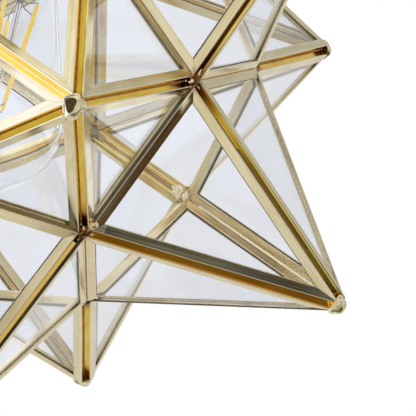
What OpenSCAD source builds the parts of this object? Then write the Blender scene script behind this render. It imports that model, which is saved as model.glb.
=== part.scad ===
// Star semi-flush ceiling light: twelve hollow glass points around one lamp.
// Each point is a five-sided pyramid of glass panes, every pane held in its own brass channel.
// Millimetres, +Z up. The origin lies on the ceiling, midway between the crossbar's two screw holes.

/* [Star] */
// Edge of the pentagon that each point stands on
base_edge = 80; // [74:1:86]
// Middle of the star to the tip of a point
tip_radius = 192; // [184:1:204]

/* [Glass] */
// Thickness of a pane
glass_t = 2.6; // [2:0.1:3.2]
// Free space between a pane and its channel
glass_play = 0.1; // [0.05:0.05:0.2]
// Length nipped off a pane at its tip, along each edge
glass_tip_nip = 5; // [4.5:0.5:7]
// Length nipped off a pane at its two lower corners, along each edge
glass_foot_nip = 5; // [4.5:0.5:5.5]

/* [Brass channel] */
// Wall of the folded channel
came_wall = 0.6; // [0.4:0.1:0.8]
// Width of the channel's lips over the glass
came_lip = 4.2; // [3.6:0.1:5]
// Gap between the channels of two panes
came_gap = 0.1; // [0.06:0.02:0.2]
// Saw cut between two mitred lengths of channel
mitre_gap = 0.08; // [0.06:0.02:0.2]

/* [Solder] */
// Radius of the bead that closes a tip
tip_bead_r = 4.2; // [3.6:0.2:4.6]
// Radius of the bead where three points meet
valley_bead_r = 4; // [3.4:0.2:4.2]
// Radius of the beads at the corners of the point that opens
door_bead_r = 2.6; // [2.2:0.1:2.8]

/* [Opening point] */
// Gap between the point that opens and its neighbours
door_gap = 0.3; // [0.2:0.05:0.5]
// Radius of the hinge's knuckles
knuckle_r = 2; // [1.8:0.1:2.4]
// Radius of the hinge pin
pin_r = 0.8; // [0.6:0.1:1]
// Space between the pin and its bore
pin_play = 0.05; // [0.03:0.01:0.08]
// Length of the hinge
hinge_len = 30; // [24:1:36]
// Thickness of the hinge leaves
leaf_t = 0.6; // [0.4:0.1:0.8]
// Width of a hinge leaf, from under the pin to its edge
leaf_w = 6; // [5:0.5:7]
// Gap between knuckles, and under them
knuckle_gap = 0.2; // [0.15:0.05:0.3]
// Radius of the catch magnet
magnet_r = 2.5; // [2:0.25:3]
// Length of the catch magnet
magnet_len = 3; // [2:0.5:4]
// Reach of the catch strap into the opening point
catch_reach = 12; // [9:1:14]
// Width of the catch strap
strap_w = 5; // [4:0.5:6]
// Thickness of the catch strap
strap_t = 1; // [0.8:0.1:1.2]
// Thickness of the steel plate that the magnet holds
strike_t = 1; // [0.8:0.1:1.5]

/* [Hanging] */
// Length of stem that shows between the canopy and the star
stem_len = 56; // [40:1:120]
// Outer radius of the stem sleeve
sleeve_r = 6.35; // [6:0.05:7.5]
// Outer radius of the threaded tube
tube_r = 4.8; // [4.5:0.1:5]
// Bore radius of the threaded tube
tube_bore_r = 3.6; // [3.4:0.1:3.9]
// Space around the threaded tube
tube_play = 0.1; // [0.05:0.05:0.2]
// Corner radius of the hexagon lock nuts
nut_r = 6.7; // [6.4:0.1:6.8]
// Height of the lock nuts
nut_h = 3.4; // [2.8:0.2:4]
// Length of the top point's tip that the cap replaces
top_cut = 18; // [17:0.5:20]
// Thickness of the cap over the top point
cap_t = 2.5; // [2:0.25:4]
// Depth of the cap's skirt
cap_skirt = 8; // [6:0.5:10]
// Height of the neck on the cap
cap_neck_h = 8; // [5:0.5:12]

/* [Canopy] */
// Radius of the canopy at its rim
canopy_r = 65; // [60:1:75]
// Height of the canopy
canopy_h = 22; // [21:1:30]
// Wall of the canopy
canopy_wall = 1; // [0.8:0.1:1.2]
// Width of the rim that lies on the ceiling
rim_w = 4; // [3:0.5:6]
// Radius of the canopy's lower corner
canopy_corner = 7; // [5:1:14]
// Height of the turned collar under the canopy
collar_h = 6; // [4:0.5:10]
// Length of the crossbar between its end screw holes
bar_span = 88.9; // [84:0.1:89]
// Radius of the crossbar's end screw holes
bar_hole_r = 2.25; // [2:0.05:2.6]
// Width of the crossbar
bar_w = 18; // [16:1:20]
// Thickness of the crossbar
bar_t = 2; // [1.6:0.2:2.4]
// Distance from the middle to each canopy stud
stud_x = 32; // [30:1:35]
// Radius of the canopy studs
stud_r = 2; // [1.8:0.1:2.2]
// Radius of the ball nuts
ball_r = 5; // [4.5:0.5:6]
// Distance from the middle to the ground screw
ground_x = 17; // [15:1:19]
// Radius of the ground screw's shank
ground_r = 1.9; // [1.6:0.1:2]

/* [Lamp] */
// Radius of the bulb at its widest
bulb_r = 32; // [30:1:34]
// Middle of the star down to the middle of the bulb's round end
bulb_drop = 27; // [24:1:30]
// Middle of the star up to the lower rim of the bulb's cap
bulb_cap_z = 54; // [52:1:58]
// Wall of the bulb
bulb_wall = 0.9; // [0.7:0.1:1.2]
// Radius of the bulb's neck
neck_r = 12.4; // [12:0.1:12.6]
// Radius over the thread of the bulb's cap
screw_r = 13; // [12.9:0.05:13.1]
// Length of the threaded cap
screw_len = 23; // [22:0.5:24]
// Pitch of the screw thread
thread_pitch = 3.63; // [3.6:0.01:3.7]
// Length of a filament
filament_len = 50; // [44:1:54]
// Radius of a filament
filament_r = 0.9; // [0.7:0.1:1.1]
// Distance from the bulb's axis to the upper end of a filament
filament_out = 10.5; // [9.5:0.5:11]
// Distance from the bulb's axis to the lower end of a filament
filament_in = 5.5; // [4.5:0.5:6.5]

/* [Lampholder] */
// Radius of the lampholder's brass cup
cup_r = 20; // [19:0.5:22]
// Wall of the brass cup
cup_wall = 0.8; // [0.6:0.1:1]
// Play between the bulb's cap and the screw shell
shell_play = 0.45; // [0.35:0.05:0.6]
// Wall of the screw shell
shell_wall = 0.45; // [0.35:0.05:0.6]
// Thickness of the ceramic behind the screw shell
ceramic_base = 10; // [8:0.5:12]
// Space above the ceramic for the terminals and wires
terminal_space = 9; // [8.5:0.5:12]

/* [Wiring] */
// Radius of the insulated wires
wire_r = 1; // [0.8:0.1:1.1]
// Radius of a twist-on connector at its open end
connector_r = 5; // [4.5:0.25:5.5]
// Length of a twist-on connector
connector_len = 22; // [18:1:26]

/* [Hidden] */
$fn = 64;
EPS = 0.01;
GOLDEN = (1 + sqrt(5)) / 2;
POLE_ANGLE = acos(1 / sqrt(5));
EDGE_HALF = (180 - POLE_ANGLE) / 2;
EDGE_TILT = 90 - EDGE_HALF;
FIFTH = 72;
LOWER_AZ = -90;
UPPER_AZ = LOWER_AZ + FIFTH / 2;
DOOR_AZ = LOWER_AZ + 4 * FIFTH;
SEAT = 0.1;

// The body inside the points is a regular dodecahedron
face_circum = base_edge / (2 * sin(36));
face_in = base_edge / (2 * tan(36));
body_in = face_in * GOLDEN;
pyramid_h = tip_radius - body_in;
slant = sqrt(pyramid_h * pyramid_h + face_in * face_in);
lean = atan2(pyramid_h, face_in);
tip_half = atan2(base_edge / 2, slant);
foot_half = (90 - tip_half) / 2;
ridge_half = (180 - acos(pow(sin(lean), 2) * cos(FIFTH) + pow(cos(lean), 2))) / 2;
valley_half = 180 - EDGE_HALF - lean;

// A channel's web stands back from the ridge or valley so that only its nearer corner meets the next one
came_t = glass_t + 2 * (glass_play + came_wall);
ridge_inset = came_t / 2 / tan(ridge_half) + came_gap / 2;
valley_inset = came_t / 2 / tan(valley_half) + came_gap / 2;
glass_inset = came_wall + glass_play;

// Heights above the middle of the star
cut_z = tip_radius - top_cut;
cap_top_z = cut_z + SEAT + cap_t + cap_neck_h;
star_drop = canopy_h + stem_len + cap_top_z;
screw_top_z = bulb_cap_z + screw_len;
insulator_h = 3;
button_h = 1.5;
button_top_z = screw_top_z + insulator_h + button_h;
contact_z = button_top_z + 0.3;
contact_t = 1;
shell_r = screw_r + shell_play;
shell_top_z = contact_z + contact_t + 1;
ceramic_top_z = shell_top_z + SEAT + ceramic_base;
cup_rim_z = bulb_cap_z + 1;
cup_top_z = ceramic_top_z + terminal_space + cup_wall;
ceramic_r = cup_r - cup_wall - SEAT;
tab_t = 0.8;
post_r = 1.5;
post_x = 7.5;
terminal_x = 12.5;

// The cap's skirt clears the outer corners of the channels
cut_outer_in = (top_cut * face_in / pyramid_h) + came_t / 2 / sin(lean);
cut_half_w = top_cut * base_edge / 2 / pyramid_h;
cap_seat_r = sqrt(cut_outer_in * cut_outer_in + cut_half_w * cut_half_w) + SEAT;
cap_flare = face_circum / pyramid_h;
cap_wall = 0.8;
neck_out_r = sleeve_r + 2;

// The hinge lies in the valley under the opening point, clear of both faces
valley_out = came_t / 2 / sin(valley_half);
hinge_rise = valley_out + (knuckle_r + knuckle_gap) / sin(valley_half);
end_knuckle = (hinge_len - 2 * knuckle_gap) * 0.29;
mid_knuckle = hinge_len - 2 * knuckle_gap - 2 * end_knuckle;

// The catch strap runs along the inside of the valley above the opening point
ridge_lean = atan2(face_circum, pyramid_h) - EDGE_TILT;
ridge_depth = came_t / 2 / sin(ridge_half);
strap_depth = ridge_depth + strap_w / 2 / tan(ridge_half) + (catch_reach + 1) * tan(max(ridge_lean, 0)) + 0.4;
strap_pad_top = came_t / 2 * sin(valley_half) - valley_inset * cos(valley_half) + SEAT;
cup_hold_r = magnet_r + 1;
magnet_depth = strap_depth + strap_t + cup_hold_r;
edge_out = [face_circum * (1 - GOLDEN), 0, body_in / pow(GOLDEN, 3) - body_in] / base_edge;

canopy_in_r = canopy_r - rim_w;
nut_seat_z = -canopy_h + canopy_wall + SEAT;
tube_top_z = nut_seat_z + nut_h + 2;
tube_bottom_z = cup_top_z - cup_wall - nut_h - SEAT - 1;

// Ends of the twelve points: tilt from +Z, turn about Z, turn about the point's own axis
TOP = [0, UPPER_AZ, 0];
BOTTOM = [180, LOWER_AZ + 180, 0];
function upper(k) = [POLE_ANGLE, UPPER_AZ + k * FIFTH, 180];
function lower(k) = [180 - POLE_ANGLE, LOWER_AZ + k * FIFTH, 0];

// Corners of the body, where three points meet
function corner(r, az, z) = [r * cos(az), r * sin(az), z];
CORNERS = [
    for (k = [0 : 4]) each [
        corner(face_circum, UPPER_AZ + 36 + k * FIFTH, body_in),
        corner(face_circum * GOLDEN, UPPER_AZ + 36 + k * FIFTH, body_in / pow(GOLDEN, 3)),
        corner(face_circum * GOLDEN, LOWER_AZ + 36 + k * FIFTH, -body_in / pow(GOLDEN, 3)),
        corner(face_circum, LOWER_AZ + 36 + k * FIFTH, -body_in)
    ]
];
door_middle = body_in * [sin(POLE_ANGLE) * cos(DOOR_AZ), sin(POLE_ANGLE) * sin(DOOR_AZ), -cos(POLE_ANGLE)];
function on_door(p) = norm(p - door_middle) < face_circum * 1.01;
function joined(p, q) = norm(p - q) > 1 && norm(p - q) < base_edge * 1.01;
function way_off(p) = [for (q = CORNERS) if (joined(p, q) && !on_door(q)) q][0];
// A bead beside the opening point sits back along the edge that leads away from it
bead_back = door_bead_r + 0.7;
function bead_place(p) = on_door(p) ? p + (way_off(p) - p) * bead_back / base_edge : p;

function unit(v) = v / norm(v);

// Outline of a pane, drawn in from its foot and from its two ridges
function pane_outline(foot_in, side_in) =
    let (top = slant - side_in / sin(tip_half), half = (top - foot_in) * tan(tip_half))
    [[-half, foot_in], [half, foot_in], [0, top]];

function nipped(tri, nips) = [
    for (k = [0 : 2]) each [
        tri[k] + nips[k] * unit(tri[(k + 2) % 3] - tri[k]),
        tri[k] + nips[k] * unit(tri[(k + 1) % 3] - tri[k])
    ]
];

// One mitred length of channel, between corners k and k + 1
function rail_outline(k, foot_in) =
    let (
        out = pane_outline(foot_in, ridge_inset),
        in = pane_outline(foot_in + came_lip, ridge_inset + came_lip),
        n = (k + 1) % 3,
        halves = [foot_half, foot_half, tip_half],
        way = unit(out[n] - out[k]),
        a = way * mitre_gap / 2 / sin(halves[k]),
        b = way * mitre_gap / 2 / sin(halves[n])
    )
    [out[k] + a, out[n] - b, in[n] - b, in[k] + a];

// Closed tube along a route that stays in one plane, whose normal is given
function tube_points(route, normal, r, sides) = [
    for (i = [0 : len(route) - 1])
        let (
            a = route[max(i - 1, 0)],
            b = route[min(i + 1, len(route) - 1)],
            side = unit(cross(normal, b - a))
        )
        for (j = [0 : sides - 1])
            route[i] + r * (cos(j * 360 / sides) * side + sin(j * 360 / sides) * normal)
];

module tube(route, normal, r, sides = 8) {
    last = (len(route) - 1) * sides;
    polyhedron(
        points = tube_points(route, normal, r, sides),
        faces = [
            [for (j = [0 : sides - 1]) j],
            [for (j = [sides - 1 : -1 : 0]) last + j],
            for (i = [0 : len(route) - 2], j = [0 : sides - 1])
                let (n = (j + 1) % sides, p = i * sides)
                each [[p + j, p + sides + j, p + sides + n], [p + j, p + sides + n, p + n]]
        ]
    );
}

// Quarter bend: points from one direction to the next, about a middle
function bend(middle, from, to, r, steps = 4) = [
    for (i = [0 : steps]) middle + r * (from * cos(i * 90 / steps) + to * sin(i * 90 / steps))
];

module at_star() {
    translate([0, 0, -star_drop]) children();
}

module in_point(p) {
    at_star() rotate([0, p[0], p[1]]) rotate([0, 0, p[2]]) children();
}

// Pane frame: x along the foot, y up the slope, z outwards
module on_pane(j) {
    rotate([0, 0, j * FIFTH]) translate([face_in, 0, body_in])
        rotate([0, lean, 0]) rotate([0, 0, 90]) children();
}

module pane_came(foot_in) {
    for (k = [0 : 2])
        difference() {
            linear_extrude(height = came_t, center = true) polygon(rail_outline(k, foot_in));
            linear_extrude(height = came_t - 2 * came_wall, center = true)
                polygon(pane_outline(foot_in + came_wall, ridge_inset + came_wall));
        }
}

module point_frame(p, gap = 0) {
    color("darkgoldenrod") in_point(p)
        for (j = [0 : 4]) on_pane(j) pane_came(valley_inset + gap);
}

module point_glass(p, gap = 0) {
    color("lightcyan", 0.4) in_point(p)
        for (j = [0 : 4]) on_pane(j)
            linear_extrude(height = glass_t, center = true)
                polygon(nipped(
                    pane_outline(valley_inset + gap + glass_inset, ridge_inset + glass_inset),
                    [glass_foot_nip, glass_foot_nip, glass_tip_nip]
                ));
}

module above_cut(lower_by = 0) {
    at_star() translate([0, 0, cut_z - lower_by]) cylinder(r = face_circum, h = top_cut * 2);
}

module frame_top() {
    difference() {
        point_frame(TOP);
        above_cut();
    }
}

module glass_top() {
    difference() {
        point_glass(TOP);
        above_cut(lower_by = 1);
    }
}

module tip_bead(p) {
    in_point(p) translate([0, 0, tip_radius - tip_bead_r]) sphere(r = tip_bead_r);
}

module tip_solder() {
    color("khaki") {
        for (k = [0 : 4]) tip_bead(upper(k));
        for (k = [0 : 3]) tip_bead(lower(k));
        tip_bead(BOTTOM);
    }
}

module door_tip_solder() {
    color("khaki") tip_bead(lower(4));
}

module valley_solder() {
    color("khaki") at_star()
        for (p = CORNERS) translate(bead_place(p)) sphere(r = on_door(p) ? door_bead_r : valley_bead_r);
}

// Hinge frame: y along the valley, z outwards through it
module at_hinge() {
    in_point(lower(4)) translate([face_in, 0, body_in]) rotate([0, EDGE_TILT, 0])
        translate([0, 0, hinge_rise]) children();
}

// Leaf on one face of the valley, with its own knuckles; side is 1 for the fixed face
module leaf(side, knuckles) {
    difference() {
        union() {
            rotate([0, -side * (90 - valley_half), 0])
                translate([0, 0, -knuckle_r - knuckle_gap + SEAT]) {
                    near = knuckle_r + knuckle_gap;
                    translate([side * (near + leaf_w) / 2, 0, leaf_t / 2])
                        cube([leaf_w - near, hinge_len, leaf_t], center = true);
                    for (y = knuckles)
                        translate([side * (knuckle_r + 0.5) / 2, y[0], leaf_t / 2])
                            cube([knuckle_r + 0.5, y[1], leaf_t], center = true);
                }
            for (y = knuckles)
                translate([0, y[0], 0]) rotate([90, 0, 0])
                    cylinder(r = knuckle_r, h = y[1], center = true);
        }
        rotate([90, 0, 0]) cylinder(r = pin_r + pin_play, h = hinge_len + 2, center = true);
    }
}

end_y = (hinge_len - end_knuckle) / 2;

module hinge_fixed_leaf() {
    color("goldenrod") at_hinge() leaf(1, [[-end_y, end_knuckle], [end_y, end_knuckle]]);
}

module hinge_door_leaf() {
    color("goldenrod") at_hinge() leaf(-1, [[0, mid_knuckle]]);
}

module hinge_pin() {
    head_h = 0.8;
    color("gold") at_hinge() rotate([90, 0, 0]) {
        cylinder(r = pin_r, h = hinge_len + 2 * SEAT + EPS, center = true);
        for (s = [-1, 1])
            translate([0, 0, s * (hinge_len / 2 + SEAT + head_h / 2)])
                cylinder(r = knuckle_r - 0.5, h = head_h, center = true);
    }
}

// Catch frame: z along the inside of the ridge into the opening point, x towards the star's middle
module at_catch() {
    in_point(lower(4)) translate([-face_circum, 0, body_in])
        multmatrix([
            [-edge_out[2], 0, -edge_out[0], 0],
            [0, 1, 0, 0],
            [edge_out[0], 0, -edge_out[2], 0],
            [0, 0, 0, 1]
        ]) children();
}

pad_start = bead_back + door_bead_r + 1;
pad_len = 14;

module catch_holder() {
    color("goldenrod") at_catch() difference() {
        union() {
            translate([strap_depth, -strap_w / 2, -pad_start - pad_len])
                cube([strap_t, strap_w, pad_start + pad_len + catch_reach]);
            translate([strap_pad_top, -strap_w / 2, -pad_start - pad_len])
                cube([strap_depth - strap_pad_top + EPS, strap_w, pad_len]);
            translate([strap_depth, -strap_w / 2, catch_reach - magnet_len - 1])
                cube([magnet_depth - strap_depth, strap_w, magnet_len + 1]);
            translate([magnet_depth, 0, catch_reach - magnet_len - 1])
                cylinder(r = cup_hold_r, h = magnet_len + 1);
        }
        translate([magnet_depth, 0, catch_reach - magnet_len])
            cylinder(r = magnet_r + 0.05, h = magnet_len + 1);
    }
}

module catch_magnet() {
    color("silver") at_catch()
        translate([magnet_depth, 0, catch_reach - magnet_len + 0.05])
            cylinder(r = magnet_r, h = magnet_len);
}

// Steel plate soldered across the ridge inside the opening point
module catch_plate() {
    top = ridge_depth + 0.2 + (catch_reach + 1) * tan(ridge_lean);
    half = cup_hold_r + 1;
    far = magnet_depth + cup_hold_r;
    color("lightsteelblue") at_catch() translate([0, 0, catch_reach + 0.35])
        linear_extrude(height = strike_t)
            polygon([
                [top, 0],
                [top + half / tan(ridge_half), half],
                [far, half],
                [far, -half],
                [top + half / tan(ridge_half), -half]
            ]);
}

module top_cap() {
    under = cut_z + SEAT;
    color("goldenrod") at_star() rotate_extrude()
        polygon([
            [tube_r + tube_play, under],
            [cap_seat_r, under],
            [cap_seat_r + cap_skirt * cap_flare, under - cap_skirt],
            [cap_seat_r + cap_skirt * cap_flare + cap_wall, under - cap_skirt],
            [cap_seat_r + cap_wall, under + 0.5],
            [cap_seat_r - 1.5, under + cap_t],
            [neck_out_r + 1, under + cap_t],
            [neck_out_r, under + cap_t + 1],
            [neck_out_r, cap_top_z - 1],
            [neck_out_r - 1, cap_top_z],
            [tube_r + tube_play, cap_top_z]
        ]);
}

module stem_sleeve() {
    color("goldenrod") at_star() translate([0, 0, cap_top_z + SEAT]) difference() {
        cylinder(r = sleeve_r, h = stem_len - collar_h - 3 * SEAT);
        translate([0, 0, -1]) cylinder(r = tube_r + tube_play, h = stem_len + 2);
    }
}

module stem_collar() {
    top = -canopy_h - SEAT;
    color("goldenrod") rotate_extrude()
        polygon([
            [tube_r + tube_play, top],
            [sleeve_r + 7, top],
            [sleeve_r + 7, top - 1.2],
            [sleeve_r + 3, top - collar_h * 0.55],
            [sleeve_r + 2, top - collar_h],
            [tube_r + tube_play, top - collar_h]
        ]);
}

module threaded_tube() {
    bottom = tube_bottom_z - star_drop;
    color("darkkhaki") difference() {
        translate([0, 0, bottom]) cylinder(r = tube_r, h = tube_top_z - bottom);
        translate([0, 0, bottom - 1]) cylinder(r = tube_bore_r, h = tube_top_z - bottom + 2);
    }
}

module lock_nut(z) {
    translate([0, 0, z]) difference() {
        cylinder(r = nut_r, h = nut_h, $fn = 6);
        translate([0, 0, -1]) cylinder(r = tube_r + 0.05, h = nut_h + 2);
    }
}

module lock_nuts() {
    color("darkkhaki") {
        lock_nut(nut_seat_z);
        lock_nut(cut_z - nut_h - star_drop);
        lock_nut(cup_top_z + SEAT - star_drop);
        lock_nut(cup_top_z - cup_wall - SEAT - nut_h - star_drop);
    }
}

function arc(middle, r, from, to, steps = 12) = [
    for (i = [0 : steps])
        let (a = from + (to - from) * i / steps)
        middle + r * [cos(a), sin(a)]
];

module canopy() {
    rim_t = 1.2;
    middle = [canopy_in_r - canopy_corner, canopy_corner - canopy_h];
    color("goldenrod") difference() {
        rotate_extrude()
            polygon(concat(
                [[tube_r + tube_play, -canopy_h]],
                arc(middle, canopy_corner, -90, 0),
                [[canopy_in_r, -rim_t], [canopy_r, -rim_t], [canopy_r, 0], [canopy_in_r - canopy_wall, 0]],
                arc(middle, canopy_corner - canopy_wall, 0, -90),
                [[tube_r + tube_play, canopy_wall - canopy_h]]
            ));
        for (s = [-1, 1])
            translate([s * stud_x, 0, -canopy_h - 1])
                cylinder(r = stud_r + 0.3, h = canopy_wall + 2);
    }
}

module crossbar() {
    color("silver") difference() {
        union() {
            translate([-bar_span / 2, -bar_w / 2, -bar_t]) cube([bar_span, bar_w, bar_t]);
            for (s = [-1, 1])
                translate([s * bar_span / 2, 0, -bar_t]) cylinder(r = bar_w / 2, h = bar_t);
        }
        for (s = [-1, 1]) {
            translate([s * bar_span / 2, 0, -bar_t - 1]) cylinder(r = bar_hole_r, h = bar_t + 2);
            translate([s * stud_x, 0, -bar_t - 1]) cylinder(r = stud_r + 0.05, h = bar_t + 2);
        }
        translate([-ground_x, 0, -bar_t - 1]) cylinder(r = ground_r + 0.05, h = bar_t + 2);
        translate([0, 0, -bar_t - 1]) cylinder(r = bar_w / 2 - 2.5, h = bar_t + 2);
    }
}

module canopy_studs() {
    color("goldenrod")
        for (s = [-1, 1])
            translate([s * stud_x, 0, -canopy_h - ball_r - 1]) cylinder(r = stud_r, h = canopy_h + ball_r + 1);
}

module canopy_nuts() {
    color("gold")
        for (s = [-1, 1])
            translate([s * stud_x, 0, -canopy_h - SEAT]) difference() {
                union() {
                    translate([0, 0, -2]) cylinder(r = ball_r - 1, h = 2);
                    translate([0, 0, -1.5 - ball_r]) sphere(r = ball_r);
                }
                translate([0, 0, -ball_r - 1.2]) cylinder(r = stud_r + 0.05, h = ball_r + 2);
                translate([0, 0, 0]) cylinder(r = ball_r * 2, h = ball_r);
            }
}

module ground_screw() {
    head_h = 2.2;
    color("green") {
        translate([-ground_x, 0, -bar_t - SEAT - head_h]) cylinder(r = ground_r * 2, h = head_h);
        translate([-ground_x, 0, -bar_t - 1]) cylinder(r = ground_r, h = bar_t + 1);
    }
}

connector_y = 25;
wire_z = -9.5;
ground_z = -7.3;
bend_r = 3;
low_bend_r = 2;
wire_x = 1.7;
X1 = [1, 0, 0];
Y1 = [0, 1, 0];
Z1 = [0, 0, 1];

// From the terminal screw, up the threaded tube and out to a connector in the canopy
module fixture_wire(s) {
    terminal_z = ceramic_top_z + SEAT + 2 * tab_t + 0.5 + wire_r - star_drop;
    low = [s * (terminal_x - 3.2), 0, terminal_z];
    tube(
        concat(
            [low],
            bend([s * (wire_x + low_bend_r), 0, terminal_z + low_bend_r], -Z1, -s * X1, low_bend_r),
            [[s * wire_x, 0, tube_top_z]]
        ),
        Y1, wire_r
    );
    translate([0, 0, EPS])
        tube(
            concat(
                [[s * wire_x, 0, tube_top_z - 2 * EPS]],
                bend([s * wire_x, s * bend_r, wire_z - bend_r], -s * Y1, Z1, bend_r),
                [[s * wire_x, s * (connector_y + 2), wire_z]]
            ),
            X1, wire_r
        );
}

module live_wire() {
    color("black") fixture_wire(1);
}

module neutral_wire() {
    color("white") fixture_wire(-1);
}

module ground_wire() {
    start_z = -bar_t - SEAT - 1.1;
    small = (start_z - ground_z) / 2;
    first_y = ground_r * 2 + SEAT;
    color("green")
        tube(
            concat(
                [[-ground_x, first_y, start_z]],
                bend([-ground_x, bar_w / 2, start_z - small], Z1, Y1, small),
                bend([-ground_x, bar_w / 2 + 2 * small, start_z - small], -Y1, -Z1, small),
                [[-ground_x, connector_y + 2, ground_z]]
            ),
            X1, wire_r * 0.8
        );
}

module connector(s, x, z, r) {
    translate([x, s * connector_y, z]) rotate([-s * 90, 0, 0]) difference() {
        union() {
            cylinder(r = connector_r, h = 5);
            translate([0, 0, 5 - EPS]) cylinder(r1 = connector_r, r2 = connector_r * 0.62, h = connector_len - 5);
        }
        translate([0, 0, -1]) cylinder(r = r + 0.15, h = 4);
    }
}

module wire_connectors() {
    color("orange") {
        connector(1, wire_x, wire_z, wire_r);
        connector(-1, -wire_x, wire_z, wire_r);
        connector(1, -ground_x, ground_z, wire_r * 0.8);
    }
}

module socket_cup() {
    shoulder = 4;
    middle = [cup_r - shoulder, cup_top_z - shoulder];
    color("goldenrod") at_star() rotate_extrude()
        polygon(concat(
            [[tube_r + tube_play, cup_top_z - cup_wall], [cup_r - shoulder, cup_top_z - cup_wall]],
            arc(middle, shoulder - cup_wall, 90, 0),
            [[cup_r - cup_wall, cup_rim_z], [cup_r + 0.8, cup_rim_z], [cup_r + 0.8, cup_rim_z + 2]],
            [[cup_r, cup_rim_z + 2.6]],
            arc(middle, shoulder, 0, 90),
            [[tube_r + tube_play, cup_top_z]]
        ));
}

module socket_ceramic() {
    rim_z = cup_rim_z + 2;
    color("ivory") at_star() difference() {
        translate([0, 0, rim_z]) cylinder(r = ceramic_r, h = ceramic_top_z - rim_z);
        translate([0, 0, rim_z - 1])
            cylinder(r = shell_r + shell_wall + SEAT, h = shell_top_z + SEAT - rim_z + 1);
        for (x = [0, -post_x])
            translate([x, 0, shell_top_z - 1]) cylinder(r = post_r + SEAT, h = ceramic_base + 3);
        for (s = [-1, 1])
            translate([s * terminal_x, 0, ceramic_top_z - 6]) cylinder(r = 1.4, h = 7);
    }
}

// Flat tab on the ceramic, from a post to its terminal screw
module terminal_tab(from_x, to_x) {
    side = to_x > from_x ? 1 : -1;
    translate([0, 0, ceramic_top_z + SEAT]) difference() {
        union() {
            translate([min(from_x, to_x), -2, 0]) cube([abs(to_x - from_x), 4, tab_t]);
            translate([to_x, 0, 0]) cylinder(r = 3, h = tab_t);
            translate([from_x, 0, 0]) cylinder(r = 2, h = tab_t);
        }
        translate([side * terminal_x, 0, -1]) cylinder(r = 1.4, h = tab_t + 2);
    }
}

module socket_shell() {
    start = cup_rim_z + 3;
    color("goldenrod") at_star() {
        difference() {
            translate([0, 0, start]) cylinder(r = shell_r + shell_wall, h = shell_top_z - start);
            translate([0, 0, start - 1]) cylinder(r = shell_r, h = shell_top_z - start + 1 - shell_wall);
            translate([0, 0, shell_top_z - 2]) cylinder(r = 5.5, h = 3);
        }
        translate([-post_x, 0, shell_top_z - EPS]) cylinder(r = post_r, h = ceramic_base + 2 * SEAT + 2 * EPS);
        terminal_tab(-post_x, -terminal_x);
    }
}

module socket_contact() {
    color("gold") at_star() {
        translate([0, 0, contact_z]) cylinder(r = 4, h = contact_t);
        translate([0, 0, contact_z]) cylinder(r = post_r, h = ceramic_top_z + SEAT + EPS - contact_z);
        terminal_tab(0, terminal_x);
    }
}

module socket_screws() {
    color("darkkhaki") at_star()
        for (s = [-1, 1])
            translate([s * terminal_x, 0, ceramic_top_z + SEAT + tab_t + SEAT]) {
                cylinder(r = 2.8, h = 1.6);
                translate([0, 0, -6]) cylinder(r = 1.3, h = 6 + EPS);
            }
}

// The bulb's side runs straight from its neck to touch its round end
neck_z = bulb_cap_z - 4;
bulb_reach = norm([neck_r, neck_z + bulb_drop]);
bulb_turn = atan2(neck_z + bulb_drop, neck_r) - acos(bulb_r / bulb_reach);
thread_rise = 0.9;
cap_shell = 0.5;
cap_root_r = screw_r - thread_rise;
spigot_r = cap_root_r - cap_shell - SEAT;

module bulb_glass() {
    middle = [0, -bulb_drop];
    inner = bulb_r - bulb_wall;
    spigot_top = bulb_cap_z + 3;
    color("white", 0.3) at_star() rotate_extrude()
        polygon(concat(
            arc(middle, bulb_r, -90, bulb_turn, 24),
            [[neck_r, neck_z], [neck_r, bulb_cap_z - SEAT], [spigot_r, bulb_cap_z - SEAT]],
            [[spigot_r, spigot_top], [spigot_r - bulb_wall, spigot_top]],
            [[spigot_r - bulb_wall, bulb_cap_z - bulb_wall], [neck_r - bulb_wall, neck_z]],
            arc(middle, inner, bulb_turn, -90, 24)
        ));
}

// The cap's thread, drawn as level rings
module bulb_screw() {
    turns = floor((screw_len - 5) / thread_pitch);
    end_hole_r = 6;
    color("silver") at_star() rotate_extrude()
        polygon(concat(
            [[cap_root_r - cap_shell, bulb_cap_z], [cap_root_r, bulb_cap_z]],
            [[cap_root_r, bulb_cap_z + 2.5]],
            [
                for (k = [0 : turns - 1], i = [1 : 6])
                    [cap_root_r + thread_rise * sin(i * 30), bulb_cap_z + 2.5 + (k + i / 6) * thread_pitch]
            ],
            [[cap_root_r, screw_top_z], [end_hole_r, screw_top_z], [end_hole_r, screw_top_z - cap_shell]],
            [[cap_root_r - cap_shell, screw_top_z - cap_shell]]
        ));
}

module bulb_insulator() {
    color("black") at_star() translate([0, 0, screw_top_z + 0.05])
        cylinder(r1 = 9.5, r2 = 5, h = insulator_h - 0.05);
}

module bulb_contact() {
    color("silver") at_star() translate([0, 0, screw_top_z + insulator_h + 0.05])
        cylinder(r1 = 4.6, r2 = 3.4, h = button_h - 0.05);
}

// Glass mount inside the bulb: a flare under the cap, then a rod with a button at its end
spider_z = 30;
rod_r = 1.2;
rod_bottom = spider_z - filament_len - 10;

module bulb_mount() {
    flare_z = bulb_cap_z + 1.5;
    color("white", 0.4) at_star() rotate_extrude()
        polygon([
            [0, rod_bottom],
            [rod_r + 0.4, rod_bottom + 1],
            [rod_r, rod_bottom + 3],
            [rod_r, spider_z + 2],
            [3.2, spider_z + 6],
            [3.6, flare_z - 8],
            [spigot_r - bulb_wall - SEAT, flare_z],
            [0, flare_z]
        ]);
}

// Turn of each filament about the bulb's axis, and its upper end's drop below the knot of support wires
FILAMENTS = [[-49, 1], [30, 2], [99, 4], [218, 2.5]];
filament_lean = asin((filament_out - filament_in) / filament_len);
filament_drop = filament_len * cos(filament_lean);
lead_r = 0.25;

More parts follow.
